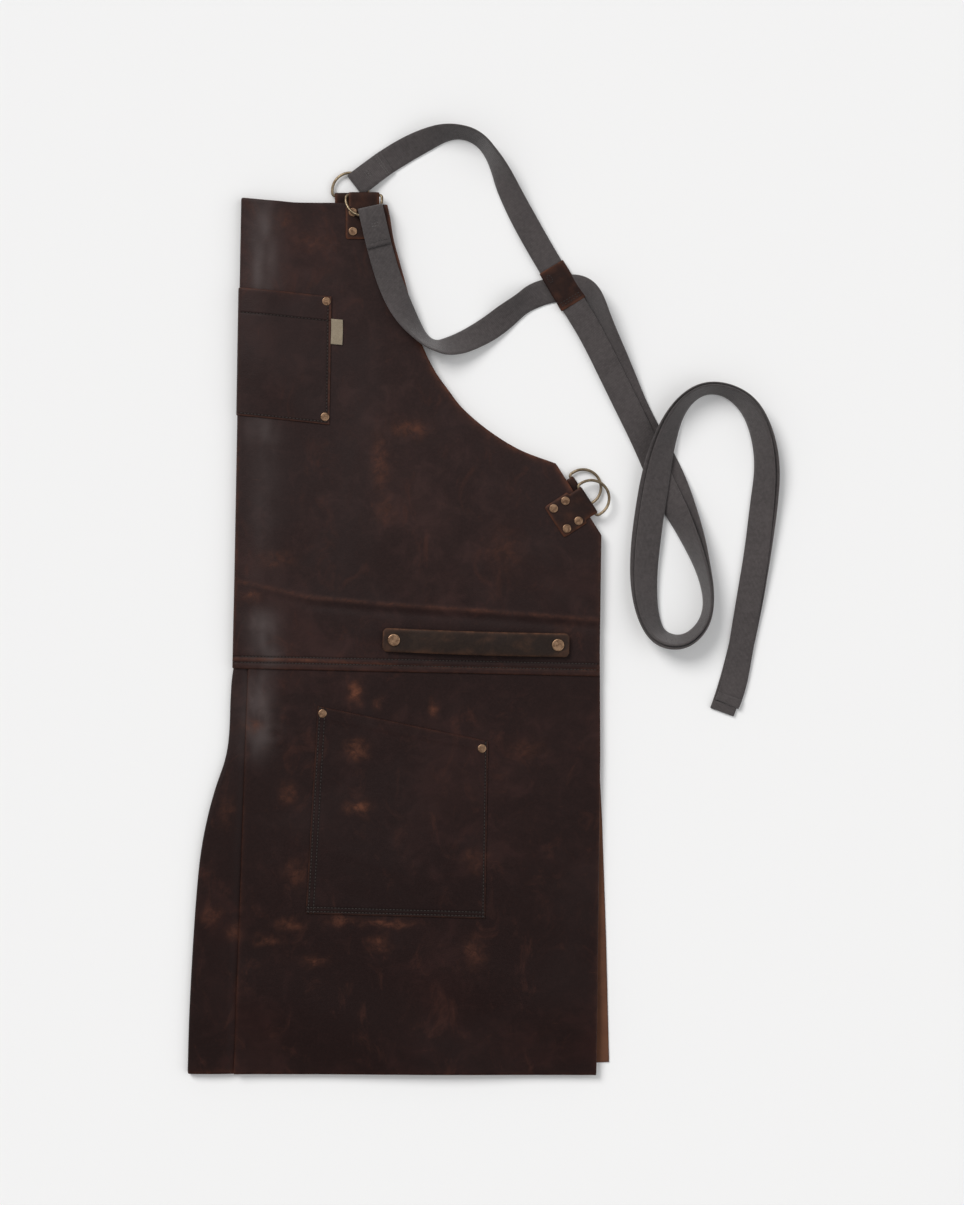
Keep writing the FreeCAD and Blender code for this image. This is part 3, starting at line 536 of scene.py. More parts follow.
# Each route repeats part.py's strap route, as (x, y, z, roll) in millimetres and degrees. Where the strap rolls
# on to its edge in a bend its middle stands higher. At its start the line reaches into the ring, where the
# strap turns back.
STRAP_A = in_metres([
    (-59, 507, 1.5, 0), (-43, 519.5, 1.5, 0), (-26, 532, 1.8, 2), (2, 547.5, 6.4, 28), (34, 560, 12, 72),
    (62, 554, 12.3, 80), (80, 530, 11.8, 72), (94, 497, 6, 28), (117, 454, 4.4, 2), (142, 412, 4.3, 0),
    (159, 384, 4.6, 2), (176, 356, 7.8, 14), (206, 295, 5.6, 8), (230, 247, 2.9, 0), (248, 203, 3.6, 4),
    (268, 165, 10, 40), (286, 123, 13.1, 64), (293, 89, 13.7, 74), (287, 65, 13.7, 74), (268, 48, 13.3, 68),
    (244, 52, 12.5, 58), (233, 73, 11.2, 40), (229, 107, 9.4, 22), (232, 149, 9, 10), (240, 203, 9.6, 10),
    (248, 245, 12.5, 34), (262, 281, 13.9, 58), (284, 300.5, 13.8, 72), (309, 300.5, 13.6, 72),
    (332, 285, 11.8, 54), (345, 257, 10.6, 44), (350, 223, 9.2, 38), (346, 183, 6.8, 22), (341, 137, 5.8, 14),
    (333, 89, 4.6, 8), (325, 39, 3.2, 2), (318, 0, 2.9, 0), (312, -13, 2.9, 0),
], 3)
STRAP_B = in_metres([
    (-45, 480, 14.6, 0), (-40.5, 460, 14.9, 0), (-35, 437, 13.4, 0), (-26, 407, 12.3, 0), (-12, 376, 16, -26),
    (6, 351, 15, -66), (20, 343, 12, -66), (42, 345, 6.8, -30), (71, 360, 2.8, -8), (90, 374.5, 5, 16),
    (105, 386, 9.4, 44), (120, 396, 3, 14), (133, 400, 1, 0), (149, 404, 1, 0), (166.5, 403.5, 6.2, 32),
    (180, 392.5, 11, 56), (188.5, 364, 9.8, 46), (205, 320, 5, 18), (223, 275, 1.2, 0), (254, 221, 1, 0),
    (272, 173, 7.2, 34), (287, 129, 12.2, 62), (294.5, 89, 13, 74), (288.5, 62, 13, 74), (268, 44.5, 12.6, 68),
    (242.5, 49, 11.6, 58), (230, 72, 10, 42), (225, 107, 7.8, 24), (227, 149, 7.2, 12), (235, 203, 7.8, 12),
    (244, 246, 11, 36), (260, 283, 13, 60), (283, 303, 13.2, 72), (310, 303, 13, 72), (334.5, 287, 11.2, 56),
    (348.5, 258, 9.8, 46), (354, 223, 8, 38), (350, 182, 5.2, 22), (343, 135, 4.1, 14), (335, 87, 2.8, 8),
    (324.5, 37, 1.3, 2), (313, -5, 1, 0), (307, -21, 1, 0),
], 3)
STRAP_WIDE = 25 * MM
STRAP_THICK = 1.5 * MM
STRAP_STEP = 2.5 * MM
HEM_GAP, HEM_FLAP = 1.7 * MM, 8 * MM        # the far end's narrow hem
FLAP_GAP = 0.12 * MM                        # left between a flap and the strap under it
ROLL_EASE = 9                               # stations on each side over which the roll is eased
TURN_STEPS = 8
EDGE_REST = 0.55 * STRAP_THICK              # the middle line's least height over an edge on the floor
# Half of the strap's section: places across it and how thick it is there, as shares.
ACROSS = np.array([-1, -0.97, -0.7, -0.35, 0, 0.35, 0.7, 0.97, 1])
FULLNESS = np.array([0.35, 0.95, 1, 1, 1, 1, 1, 0.95, 0.35])
STRAPS = {
    "a": dict(route=STRAP_A, gap=5.0 * MM, flap=38 * MM, length=1.35,
              ring="chest_ring_back", start=(-0.045, 0.51, 0), end=(0.03, 0.51, 0)),
    "b": dict(route=STRAP_B, gap=4.6 * MM, flap=40 * MM, length=1.385,
              ring="chest_ring_front", start=(-0.044, 0.47, 0), end=(-0.012, 0.4, 0)),
}


def nurbs_line(route):
    """The smooth line that a route's points shape, read from an unbevelled NURBS curve."""
    curve = bpy.data.curves.new("route", "CURVE")
    curve.dimensions = "3D"
    curve.resolution_u = 16
    spline = curve.splines.new("NURBS")
    spline.points.add(len(route) - 1)
    for point, (x, y, z, _) in zip(spline.points, route):
        point.co = (x, y, z, 1.0)
    spline.order_u = 3
    spline.use_endpoint_u = True
    obj = add_object("route", curve)
    bpy.context.view_layer.update()
    data = bpy.data.meshes.new_from_object(obj)
    line = np.array([v.co for v in data.vertices], float)
    bpy.data.objects.remove(obj)
    bpy.data.meshes.remove(data)
    return line


def rolls_along(route, line, where):
    """The strap's roll at distances along its line, eased between the route's points."""
    lengths = arc_lengths(line)
    marks = [lengths[np.argmin(np.linalg.norm(line - np.array(p[:3]), axis=1))] for p in route]
    marks[0], marks[-1] = 0.0, lengths[-1]
    rolls = np.interp(where, marks, [p[3] for p in route])
    padded = np.concatenate((np.full(ROLL_EASE, rolls[0]), rolls, np.full(ROLL_EASE, rolls[-1])))
    kernel = np.hanning(2 * ROLL_EASE + 1)
    return np.convolve(padded, kernel / kernel.sum(), mode="same")[ROLL_EASE:-ROLL_EASE]


def fold_over(stations, gap, flap):
    """Stations (place, width, normal) of a strap's end turned back on its upper side round a gap."""
    place, wide, normal = stations[0]
    back = unit(np.cross(wide, normal))
    away = -back if np.dot(stations[1][0] - place, back) > 0 else back
    radius = gap / 2
    centre = place + normal * radius
    folded = []
    for k in range(1, TURN_STEPS):
        turn = math.pi * k / TURN_STEPS
        out = -math.cos(turn) * normal + math.sin(turn) * away
        folded.append((centre + out * radius, wide, -out))
    total, last = 0.0, place
    for spot, w, n in stations:
        total += np.linalg.norm(spot - last)
        last = spot
        if total > flap:
            break
        closing = smooth(total / flap)
        rise = gap * (1 - closing) + (STRAP_THICK + FLAP_GAP) * closing
        folded.append((spot + n * rise, w, -n))
    return folded[::-1] + list(stations)


def strap_mesh(name, route, ring_gap, flap):
    """The strap's object, its line, its stations and how many of them the turned-back end takes."""
    line = nurbs_line(route)
    total = arc_lengths(line)[-1]
    count = int(total / STRAP_STEP) + 1
    where = np.linspace(0, total, count)
    spots = along(line, where)
    roll = np.radians(rolls_along(route, line, where))
    # An edge that rolls down stops at the floor.
    steepest = np.arcsin(clamp((spots[:, 2] - EDGE_REST) / (STRAP_WIDE / 2)))
    roll = np.clip(roll, -steepest, steepest)
    way = unit(np.gradient(spots, axis=0))
    left = unit(np.cross(UP, unit(way * (1, 1, 0))))
    wide = np.cos(roll)[:, None] * left + np.sin(roll)[:, None] * UP
    normal = unit(np.cross(way, wide))
    stations = fold_over(list(zip(spots, wide, normal)), ring_gap, flap)
    near = len(stations) - count
    stations = fold_over(stations[::-1], HEM_GAP, HEM_FLAP)[::-1]
    across, rise = ACROSS * STRAP_WIDE / 2, FULLNESS * STRAP_THICK / 2
    section = list(zip(across, rise)) + list(zip(across[::-1], -rise[::-1]))
    verts, uv = [], []
    travelled = 0.0
    for i, (spot, w, n) in enumerate(stations):
        if i:
            travelled += np.linalg.norm(spot - stations[i - 1][0])
        for a, r in section:
            verts.append(spot + w * a + n * r)
            uv.append((travelled, a))
    faces = tube_faces(0, len(stations), len(section))
    return mesh_object(name, verts, faces, [WEBBING], uv=uv), line, stations, near


ROW_HALF = 11.5 * MM                # half the length of a row of stitches across the strap
ROW_PLACES = (2.5 * MM, 5.0 * MM)
TACK_FROM, TACK_STEP = 15, 1.6      # the bar tack's rows, in millimetres before the ring
STRAP_STITCH = 0.35 * MM


def strap_stitches(stations, near, flap):
    """Two rows across the end of the turned-back flap, and a small bar tack near the ring."""
    spots = []
    lengths = arc_lengths(np.array([s[0] for s in stations[:near]]))

    def row(at, first, last, count):
        index = min(max(int(np.searchsorted(lengths, at)), 1), near - 1)
        spot, w, n = stations[index]
        step = (last - first) / count * 0.36
        for i in range(count):
            share = first + (last - first) * (i + 0.5) / count
            a, b = (spot + w * s - n * (STRAP_THICK / 2 + 0.05 * MM) for s in (share - step, share + step))
            spots.append((a, b, -n, STRAP_STITCH))
    for place in ROW_PLACES:
        row(place, -ROW_HALF, ROW_HALF, 9)
    for k in range(4):
        row(flap - (TACK_FROM + TACK_STEP * k) * MM, -3 * MM, 5 * MM, 3)
    return spots


webbing = {k: strap_mesh(f"strap_{k}_webbing", s["route"], s["gap"], s["flap"]) for k, s in STRAPS.items()}
stitched = {k: thread_mesh(f"strap_{k}_stitches", strap_stitches(*webbing[k][2:], s["flap"]), THREAD_GREY)
            for k, s in STRAPS.items()}
for k, s in STRAPS.items():
    for obj in (webbing[k][0], stitched[k]):
        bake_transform(obj)
    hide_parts(f"strap_{k}", f"strap_{k}_sewn_end", f"strap_{k}_hem")


# ------------ leather panels

HIDE = 2.0 * MM
POCKET_HIDE = 1.4 * MM
BACK_BIB, FRONT_BIB = 3.6 * MM, 9.6 * MM       # middle levels of the bib's two halves
BACK_LEG, FRONT_LEG, FLAP_LEG = 1.0 * MM, 7.6 * MM, 5.6 * MM

# Pull-up marks: (x, y, length along x, length along y, strength).
MARKS = in_metres([
    (-60, -3, 7, 12, 1.4), (-59, -60, 11, 10, 1.4), (-56, -117, 13, 7, 1.4), (18, -20, 5, 9, 0.7),
    (-38, -12, 6, 7, 0.5), (60, -170, 13, 12, 0.5), (-75, -231, 18, 6, 0.6), (-28, -234, 28, 5, 0.75),
    (-127, -104, 10, 12, 0.6), (-120, -184, 12, 14, 0.45), (-127, -234, 16, 7, 0.55), (-204, -226, 9, 12, 0.5),
    (-182, -243, 8, 10, 0.5), (-147, -250, 16, 6, 0.6), (-37, -253, 12, 9, 0.6), (-102, -271, 14, 6, 0.5),
    (58, -262, 12, 16, 0.45), (-165, -36, 14, 8, 0.5), (-6, 262, 22, 10, 0.55), (-36, 225, 10, 32, 0.5),
    (-30, 180, 10, 16, 0.4), (-104, 448, 22, 12, 0.35), (-130, 470, 16, 12, 0.3), (-20, 395, 10, 16, 0.3),
    (90, 140, 20, 26, 0.25), (-140, 130, 20, 10, 0.3), (-166, 94, 12, 6, 0.6), (150, 60, 16, 12, 0.2),
    (-190, -120, 8, 18, 0.35), (110, -60, 22, 12, 0.25),
], 4)
MARK_SPREAD = 0.55
# Lines where the leather is worn: (points, half width, strength).
WORN_LINES = [
    ([(-0.184, 0.11), (-0.15, 0.103), (-0.108, 0.093), (-0.03, 0.086), (0.07, 0.079), (0.186, 0.07)],
     0.0014, 0.5),
    ([(-0.184, 0.031), (-0.116, 0.03), (-0.04, 0.026), (0.03, 0.023), (0.186, 0.02)], 0.0011, 0.75),
    ([(-0.178, 0.48), (-0.177, 0.3), (-0.18, 0.1), (-0.184, 0.02)], 0.0012, 0.5),
]
# Where the painted sheen lies along the fold: (middle, half length, strength).
FOLD_SHEEN_BANDS = ((0.44, 0.05, 1.0), (0.262, 0.018, 0.6), (0.19, 0.07, 0.28), (0.052, 0.03, 1.0),
               (-0.022, 0.044, 1.0))
# Places where the leather is held flat by hardware or by a pocket: (x, y, radius).
HELD = in_metres([
    (-53, 472, 35), (157, 172, 40), (-22, 50, 20), (142, 45, 20), (-89.5, 388.5, 18), (-91, 273, 18),
    (-93.5, -23.5, 18), (66, -58.5, 18),
], 3)


def xy(grid):
    return grid[:, :, 0], grid[:, :, 1]


def from_line(x, y, points, count):
    """The square of the distance from a line, taken at an even count of places on it."""
    near = np.full(x.shape, 1e9)
    for px, py in at_shares(points, np.linspace(0, 1, count)):
        near = np.minimum(near, (x - px) ** 2 + (y - py) ** 2)
    return near


def wear_at(x, y):
    """How much the leather is pulled up at each point, from the marks and the worn lines."""
    total = np.zeros_like(x)
    x_bent = x + 5.0 * MM * noise_at(x, y, 0.011, 61.0)
    y_bent = y + 5.0 * MM * noise_at(x, y, 0.011, 67.0)
    uneven = clamp(0.75 + 0.7 * noise_at(x, y, 0.006, 71.0))
    for mx, my, lx, ly, strength in MARKS:
        away = ((x_bent - mx) / (lx * MARK_SPREAD)) ** 2 + ((y_bent - my) / (ly * MARK_SPREAD)) ** 2
        total = np.maximum(total, strength * uneven * np.exp(-0.5 * away))
    patchy = 0.55 + 0.45 * noise_at(x, y, 0.018, 7.0)
    for points, half, strength in WORN_LINES:
        near = from_line(x, y, points, 160)
        total = np.maximum(total, strength * patchy * np.exp(-near / (2 * half * half)))
    return clamp(total)


def edge_at(x, y, rim, reach=1.6 * MM):
    """1 at a cut edge, falling to 0 within a few times the reach; rim is the edge's own line."""
    return np.exp(-np.sqrt(from_line(x, y, rim, 400)) / reach)


def groove_at(x, y, lines, half=0.9 * MM):
    """1 along each straight (a, b) line, fading within about half of it."""
    total = np.zeros_like(x)
    for (ax, ay), (bx, by) in lines:
        long = math.hypot(bx - ax, by - ay)
        share = clamp(((x - ax) * (bx - ax) + (y - ay) * (by - ay)) / long ** 2)
        away = np.hypot(x - ax - share * (bx - ax), y - ay - share * (by - ay))
        total = np.maximum(total, bell(away, half))
    return total


def deep_at(y):
    """How much darker the legs are made, more towards the hem."""
    return 0.55 + 0.35 * smooth((-0.02 - y) / 0.32)


def bloom_at(x, y, fold_x):
    """A painted grey sheen band where the leather swells beside the fold."""
    band = bell(x - fold_x + 7.0 * MM * noise_at(x, y, 0.05, 81.0) - 0.026, 0.015)
    along_fold = 0.0
    for middle, half, strength in FOLD_SHEEN_BANDS:
        along_fold = np.maximum(along_fold, strength * np.exp(-((y - middle) / half) ** 4))
    return clamp(band * along_fold * (0.75 + 0.5 * noise_at(x * 2.2, y, 0.02, 85.0)))


def waves_at(x, y, seed):
    """Slow unevenness of a hide that has been lying folded, and that is held flat in places."""
    loose = np.ones_like(x)
    for hx, hy, reach in HELD:
        loose *= 1 - np.exp(-((x - hx) ** 2 + (y - hy) ** 2) / (2 * (reach * 0.6) ** 2))
    return (0.75 * MM * noise_at(x, y, 0.13, seed) + 0.35 * MM * noise_at(x, y, 0.045, seed + 3.0)) * loose


CREASE = np.array([(-0.184, 0.109), (-0.15, 0.102), (-0.108, 0.092), (-0.03, 0.085), (0.07, 0.078),
                   (0.186, 0.069)])
SEAM_LEFT, SEAM_RIGHT = (-0.183, 0.022), (0.183, 0.014)
SEAM_ROWS = (0.006, 0.012)          # the two rows of stitches, above the seam
ROW_SUNK, ROW_HALF_WIDE = 0.42 * MM, 0.0011


def seam_y(x):
    """The bib's lower edge."""
    return SEAM_LEFT[1] + (x - SEAM_LEFT[0]) * (SEAM_RIGHT[1] - SEAM_LEFT[1]) / (SEAM_RIGHT[0] - SEAM_LEFT[0])


def bib_relief(x, y):
    """Height that the bib's upper half has above its flat level."""
    # A worn ridge with a hollow below it, which fades out towards the fold.
    from_crease = y - np.interp(x, CREASE[:, 0], CREASE[:, 1])
    ridge = 0.55 * MM * bell(from_crease, 0.0026) - 0.9 * MM * bell(from_crease + 0.0075, 0.0042)
    ridge -= 0.5 * MM * smooth(-from_crease / 0.006) * smooth((from_crease + 0.07) / 0.03)
    ridge *= smooth((x + 0.185) / 0.1)
    # Two sunk rows of stitches, with the leather swelling between and below them.
    from_seam = y - seam_y(x)
    rows = -ROW_SUNK * sum(bell(from_seam - up, ROW_HALF_WIDE) for up in SEAM_ROWS)
    puff = 0.35 * MM * bell(from_seam - 0.009, 0.0016) + 0.3 * MM * bell(from_seam - 0.0025, 0.002)
    return ridge + rows + puff + waves_at(x, y, 1.0) * smooth((from_seam - 0.01) / 0.03)


def fold_swell(d, amount):
    """How far the upper half stands up next to the fold, d being the distance from the fold."""
    return amount * bell(d - 0.03, 0.026)


def bib_swell(d, y):
    lift = 4.2 * MM + 1.0 * MM * np.sin(y * 17.0 + 0.6)
    return fold_swell(d, lift * smooth((y - 0.02) / 0.05))


ARMHOLE = through(in_metres([
    (139.5, 226.5), (104, 240), (73, 259), (47, 281), (32, 300), (18, 320), (6, 345), (-3, 374), (-9, 400),
    (-17, 429), (-23, 452), (-26.5, 474),
], 2), 10)
BIB_RIGHT = np.vstack(([SEAM_RIGHT], [(0.184, 0.08)], [(0.185, 0.155)], ARMHOLE, [(-0.029, 0.485)]))
BIB_LEFT = np.array([SEAM_LEFT, (-0.181, 0.11), (-0.1775, 0.3), (-0.174, 0.492)])
# How far the bib's top edge sags: at each x, by how much.
SAG_X, SAG_BY = zip((-0.174, 0.0), (-0.15, -0.0015), (-0.122, -0.0025), (-0.098, -0.0015), (-0.078, -0.0005),
                    (-0.055, 0.0), (-0.029, 0.0))


def folded_sheet(left, right, rows, columns, back, front, swell, relief):
    """A sheet folded along its left side, as a grid of middle points.

    Each row runs from the lower half's right edge, round the fold, to the upper half's right edge. rows are shares
    from 0 to 1 of both sides' lengths.
    """
    share = np.linspace(0, 1, columns) ** 1.15
    turn_at = 4 * MM
    grid = []
    for l, r in zip(at_shares(left, rows), at_shares(right, rows)):
        span = np.linalg.norm(r - l)
        way = (r - l) / span
        d_front = turn_at + (span - turn_at) * share
        above = l + way * d_front[:, None]
        z_front = front + swell(d_front, above[:, 1]) + relief(above[:, 0], above[:, 1])
        middle, rise = (back + z_front[0]) / 2, (z_front[0] - back) / 2
        bend = l + way * (turn_at * (1 - np.cos(HALF_TURN)))[:, None]
        d_back = turn_at + (span - turn_at) * np.linspace(1, 0, columns // 3)
        below = l + way * d_back[:, None]
        z = np.concatenate((np.full(len(d_back), back), middle + rise * np.sin(HALF_TURN), z_front))
        grid.append(np.column_stack((np.vstack((below, bend, above)), z)))
    return np.array(grid)


bib_side = arc_lengths(BIB_RIGHT)[-1]
bib_rows = np.concatenate((np.arange(0, 0.02, 0.0007), np.arange(0.02, 0.13, 0.0018),
                           np.arange(0.13, 0.56, 0.0026)))
bib_rows = np.unique(np.append(bib_rows[bib_rows < bib_side - 0.001], bib_side)) / bib_side
bib_grid = folded_sheet(BIB_LEFT, BIB_RIGHT, bib_rows, 132, BACK_BIB, FRONT_BIB, bib_swell, bib_relief)
bib_x, bib_y = xy(bib_grid)
bib_y += np.interp(bib_x, SAG_X, SAG_BY) * smooth((bib_rows - 0.9) / 0.1)[:, None] * (bib_x < -0.02)
bib_edge = edge_at(bib_x, bib_y, np.vstack(([SEAM_LEFT], BIB_RIGHT)), 2.1 * MM)
bib_edge *= 0.3 + 0.7 * smooth((bib_y - 0.15) / 0.05)
SEAM_LINES = [((SEAM_LEFT[0], SEAM_LEFT[1] + up), (SEAM_RIGHT[0], SEAM_RIGHT[1] + up)) for up in SEAM_ROWS]
bib = sheet_piece("bib_leather", bib_grid, HIDE, [LEATHER, FLESH], pull=wear_at(bib_x, bib_y), edge=bib_edge,
                  bloom=bloom_at(bib_x, bib_y, -0.178), groove=groove_at(bib_x, bib_y, SEAM_LINES),
                  deep=0.35 * smooth((0.24 - bib_y) / 0.18))
settle(bib, "apron", "leather", "bib_panel")

FRONT_LEG_LEFT = [(-0.182, -0.384), (-0.176, -0.22), (-0.17, -0.035), (-0.167, 0.04)]
FRONT_LEG_RIGHT = [(0.18, -0.385), (0.1825, -0.2), (0.184, -0.06), (0.1835, 0.038)]
FRONT_LEG_RIM = [(-0.167, 0.04), (-0.17, -0.035), (-0.182, -0.384), (0.18, -0.385), (0.184, -0.06),
                 (0.1835, 0.04)]
LEG_FOLD_X = -0.184


def leg_relief(x, y):
    from_dimple = np.hypot(x + 0.142, (y + 0.046) * 1.4)
    return waves_at(x, y, 11.0) * smooth((seam_y(x) - y) / 0.03) + 0.8 * MM * bell(from_dimple - 0.01, 0.005)


def front_leg_relief(x, y):
    lip = 0.5 * MM * bell(x + 0.17 + (y + 0.035) * -0.034, 0.006)
    hem = 1.5 * MM * (1 + np.sin(x * 24.0 + y * 46.0)) * smooth((-0.228 - y) / 0.1)
    return leg_relief(x, y) + lip + hem


def close_at(spots, count, reach=0.03):
    """Shares from 0 to 1, set closer together near the given spots."""
    fine = np.linspace(0, 1, 4000)
    weight = np.ones_like(fine)
    for spot in spots:
        weight += 5.0 * bell(fine - spot, reach)
    total = np.concatenate(([0.0], np.cumsum((weight[1:] + weight[:-1]) / 2)))
    return np.interp(np.linspace(0, total[-1], count), total, fine)


def flat_sheet(left, right, rows, columns, level, relief):
    """A sheet between a left and a right edge line, at a level plus its own relief.

    rows and columns are shares from 0 to 1 of the way up and across.
    """
    share = columns[None, :, None]
    flat = at_shares(left, rows)[:, None, :] * (1 - share) + at_shares(right, rows)[:, None, :] * share
    return np.dstack((flat, level + relief(*xy(flat))))


leg_grid = flat_sheet(FRONT_LEG_LEFT, FRONT_LEG_RIGHT, np.linspace(0, 1, 190), close_at([0, 1], 160, 0.015),
                      FRONT_LEG, front_leg_relief)
leg_x, leg_y = xy(leg_grid)
leg_front = sheet_piece("leg_leather_front", leg_grid, HIDE, [LEATHER, FLESH], pull=wear_at(leg_x, leg_y),
                        edge=edge_at(leg_x, leg_y, FRONT_LEG_RIM) * 0.22,
                        bloom=bloom_at(leg_x, leg_y, LEG_FOLD_X), deep=deep_at(leg_y))
settle(leg_front, "apron", "leather", "leg_panel_front")

# The other leg: flat below, round the flared fold, and its inner edge under the leg on top.
FLARE = through(in_metres([
    (-228, -384), (-226.5, -330), (-223.5, -270), (-219.5, -210), (-215, -165), (-208.5, -130), (-200.5, -100),
    (-190.5, -70), (-186.5, -45), (-185, -10), (-183.8, 9), (-181.5, 26),
], 2), 8)
UNDER_RIGHT = [(0.193, -0.373), (0.19, -0.25), (0.186, -0.13), (0.184, -0.09), (0.183, 0.009)]
UNDER_RIM = [(-0.228, -0.384), (0.193, -0.373), (0.183, 0.009)]
FLAP_EDGE = -0.101


def under_leg_grid():
    where = np.linspace(0, 1, 170)
    turn_at = 3.4 * MM
    edge_x, edge_y = zip(*FRONT_LEG_LEFT)
    grid = []
    for (lx, ly), (rx, ry) in zip(at_shares(FLARE, where), at_shares(UNDER_RIGHT, where)):
        below = np.linspace(rx, lx + turn_at, 60)
        above = lx + turn_at + (FLAP_EDGE - lx - turn_at) * np.linspace(0, 1, 34) ** 1.1
        d = above - lx
        swell = fold_swell(d, 1.5 * MM * smooth((-0.05 - ly) / 0.1)) * clamp(1 - (d - 0.02) / 0.02)
        uneven = 0.4 * MM * noise_at(above, np.full_like(above, ly), 0.05, 21.0)
        uneven *= (d < 0.03) * smooth(d / 0.01)
        # The flap lies flat where the front leg covers it, and stands a little higher beside it.
        covered = np.interp(ly, edge_y, edge_x) - 0.002
        raised = FLAP_LEG + swell + uneven + 1.5 * MM * smooth((covered - above) / 0.005)
        z_above = np.where(above > covered, FLAP_LEG, raised)
        bend = lx + turn_at * (1 - np.cos(HALF_TURN))
        z_bend = (BACK_LEG + z_above[0]) / 2 + (z_above[0] - BACK_LEG) / 2 * np.sin(HALF_TURN)
        x = np.concatenate((below, bend, above))
        y = np.concatenate((np.interp(below, [lx, rx], [ly, ry]), np.full(FOLD_COLUMNS + len(above), ly)))
        z = np.concatenate((np.full(len(below), BACK_LEG), z_bend, z_above))
        grid.append(np.column_stack((x, y, z)))
    return np.array(grid)


under_grid = under_leg_grid()
under_x, under_y = xy(under_grid)
leg_back = sheet_piece("leg_leather_back", under_grid, HIDE, [LEATHER, FLESH], pull=wear_at(under_x, under_y),
                       edge=edge_at(under_x, under_y, UNDER_RIM) * 0.6,
                       bloom=bloom_at(under_x, under_y, LEG_FOLD_X),
                       deep=deep_at(under_y) * smooth((0.02 - under_y) / 0.16))
settle(leg_back, "apron", "leather", "leg_panel_back")


# ------------ pockets

CHEST_LEFT = [(-0.1793, 0.275), (-0.1782, 0.34), (-0.1771, 0.402)]
CHEST_RIGHT = [(-0.0868, 0.2655), (-0.0855, 0.33), (-0.0846, 0.393)]
CHEST_LEVELS = (1.9 * MM, FRONT_BIB + HIDE / 2 + POCKET_HIDE / 2 + 0.1 * MM)
CHEST_RIM = [(-0.0855, 0.393), (-0.0872, 0.2655), (-0.1815, 0.275)]
CHEST_MOUTH = [(-0.1785, 0.402), (-0.0855, 0.393)]
CHEST_SEAMS = [((-0.174, 0.3775), (-0.0875, 0.3692)), ((-0.0895, 0.2675), (-0.0878, 0.392)),
               ((-0.176, 0.277), (-0.089, 0.268))]


def chest_relief(x, y):
    across = clamp((x + 0.18) / 0.094)
    up = clamp((y - (0.275 - across * 0.0095)) / 0.127)
    belly = 1.7 * MM * np.sin(math.pi * across) ** 0.8 * np.sin(math.pi * clamp(up * 0.62 + 0.02))
    from_top = (0.402 - 0.009 * across) - y
    hem = 0.45 * MM * smooth((0.0245 - from_top) / 0.002) - 0.35 * MM * bell(from_top - 0.024, 0.0011)
    sewn = -0.25 * MM * bell(0.9763 - across, 0.012)
    return belly + hem + sewn + bib_relief(x, y) * 0.8


chest_grid = folded_sheet(CHEST_LEFT, CHEST_RIGHT, close_at([0.03, 0.81], 120), 100, *CHEST_LEVELS, bib_swell,
                          chest_relief)
chest_x, chest_y = xy(chest_grid)
chest_edge = np.maximum(edge_at(chest_x, chest_y, CHEST_RIM, 1.2 * MM),
                        0.7 * edge_at(chest_x, chest_y, CHEST_MOUTH, 0.9 * MM))
chest = sheet_piece("chest_pocket_leather", chest_grid, POCKET_HIDE, [POCKET, FLESH],
                    pull=wear_at(chest_x, chest_y) * 0.5, edge=chest_edge * 0.7,
                    groove=groove_at(chest_x, chest_y, CHEST_SEAMS))
settle(chest, "apron", "pocket_leather", "chest_pocket")

LEG_TL, LEG_TR, LEG_BR, LEG_BL = (-0.098, -0.0165), (0.072, -0.0515), (0.069, -0.2285), (-0.11, -0.2235)
LEG_POCKET_WIDE = 0.174
LEG_POCKET_LEVEL = FRONT_LEG + HIDE / 2 + POCKET_HIDE / 2 + 0.08 * MM


def inside(a, b, offset):
    """A line from a to b moved to its left by the offset."""
    a, b = np.array(a, float), np.array(b, float)
    way = unit(b - a)
    left = np.array((-way[1], way[0]))
    return [tuple(a + left * offset), tuple(b + left * offset)]


LEG_POCKET_SEAMS = [inside(*side, offset * MM) for *side, offset in (
    (LEG_TL, LEG_BL, 2.2), (LEG_TL, LEG_BL, 7.2), (LEG_BL, LEG_BR, 2.2), (LEG_BL, LEG_BR, 6.2),
    (LEG_BR, LEG_TR, 2.2))]


def leg_pocket_relief(x, y):
    across = clamp((x - np.interp(y, [LEG_BL[1], LEG_TL[1]], [LEG_BL[0], LEG_TL[0]])) / LEG_POCKET_WIDE)
    top = LEG_TL[1] + (LEG_TR[1] - LEG_TL[1]) * across
    low = LEG_BL[1] + (LEG_BR[1] - LEG_BL[1]) * across
    up = clamp((y - low) / (top - low))
    belly = 1.5 * MM * np.sin(math.pi * across) ** 0.7 * np.sin(math.pi * clamp(up * 0.6 + 0.01))
    mouth = 0.35 * MM * smooth((up - 0.93) / 0.02)
    sewn = -0.3 * MM * groove_at(x, y, LEG_POCKET_SEAMS, 1.2 * MM)
    return belly + mouth + sewn + leg_relief(x, y)


patch_grid = flat_sheet([LEG_BL, LEG_TL], [LEG_BR, LEG_TR], close_at([0, 1], 150), close_at([0, 1], 130),
                        LEG_POCKET_LEVEL, leg_pocket_relief)
patch_x, patch_y = xy(patch_grid)
patch_edge = edge_at(patch_x, patch_y, [LEG_TL, LEG_BL, LEG_BR, LEG_TR, LEG_TL], 0.9 * MM) * 0.3
leg_pocket = sheet_piece("leg_pocket_leather", patch_grid, POCKET_HIDE, [POCKET, FLESH],
                         pull=wear_at(patch_x, patch_y) * 0.9, edge=patch_edge,
                         groove=groove_at(patch_x, patch_y, LEG_POCKET_SEAMS), deep=deep_at(patch_y))
settle(leg_pocket, "apron", "pocket_leather", "leg_pocket")


# ------------ stitching

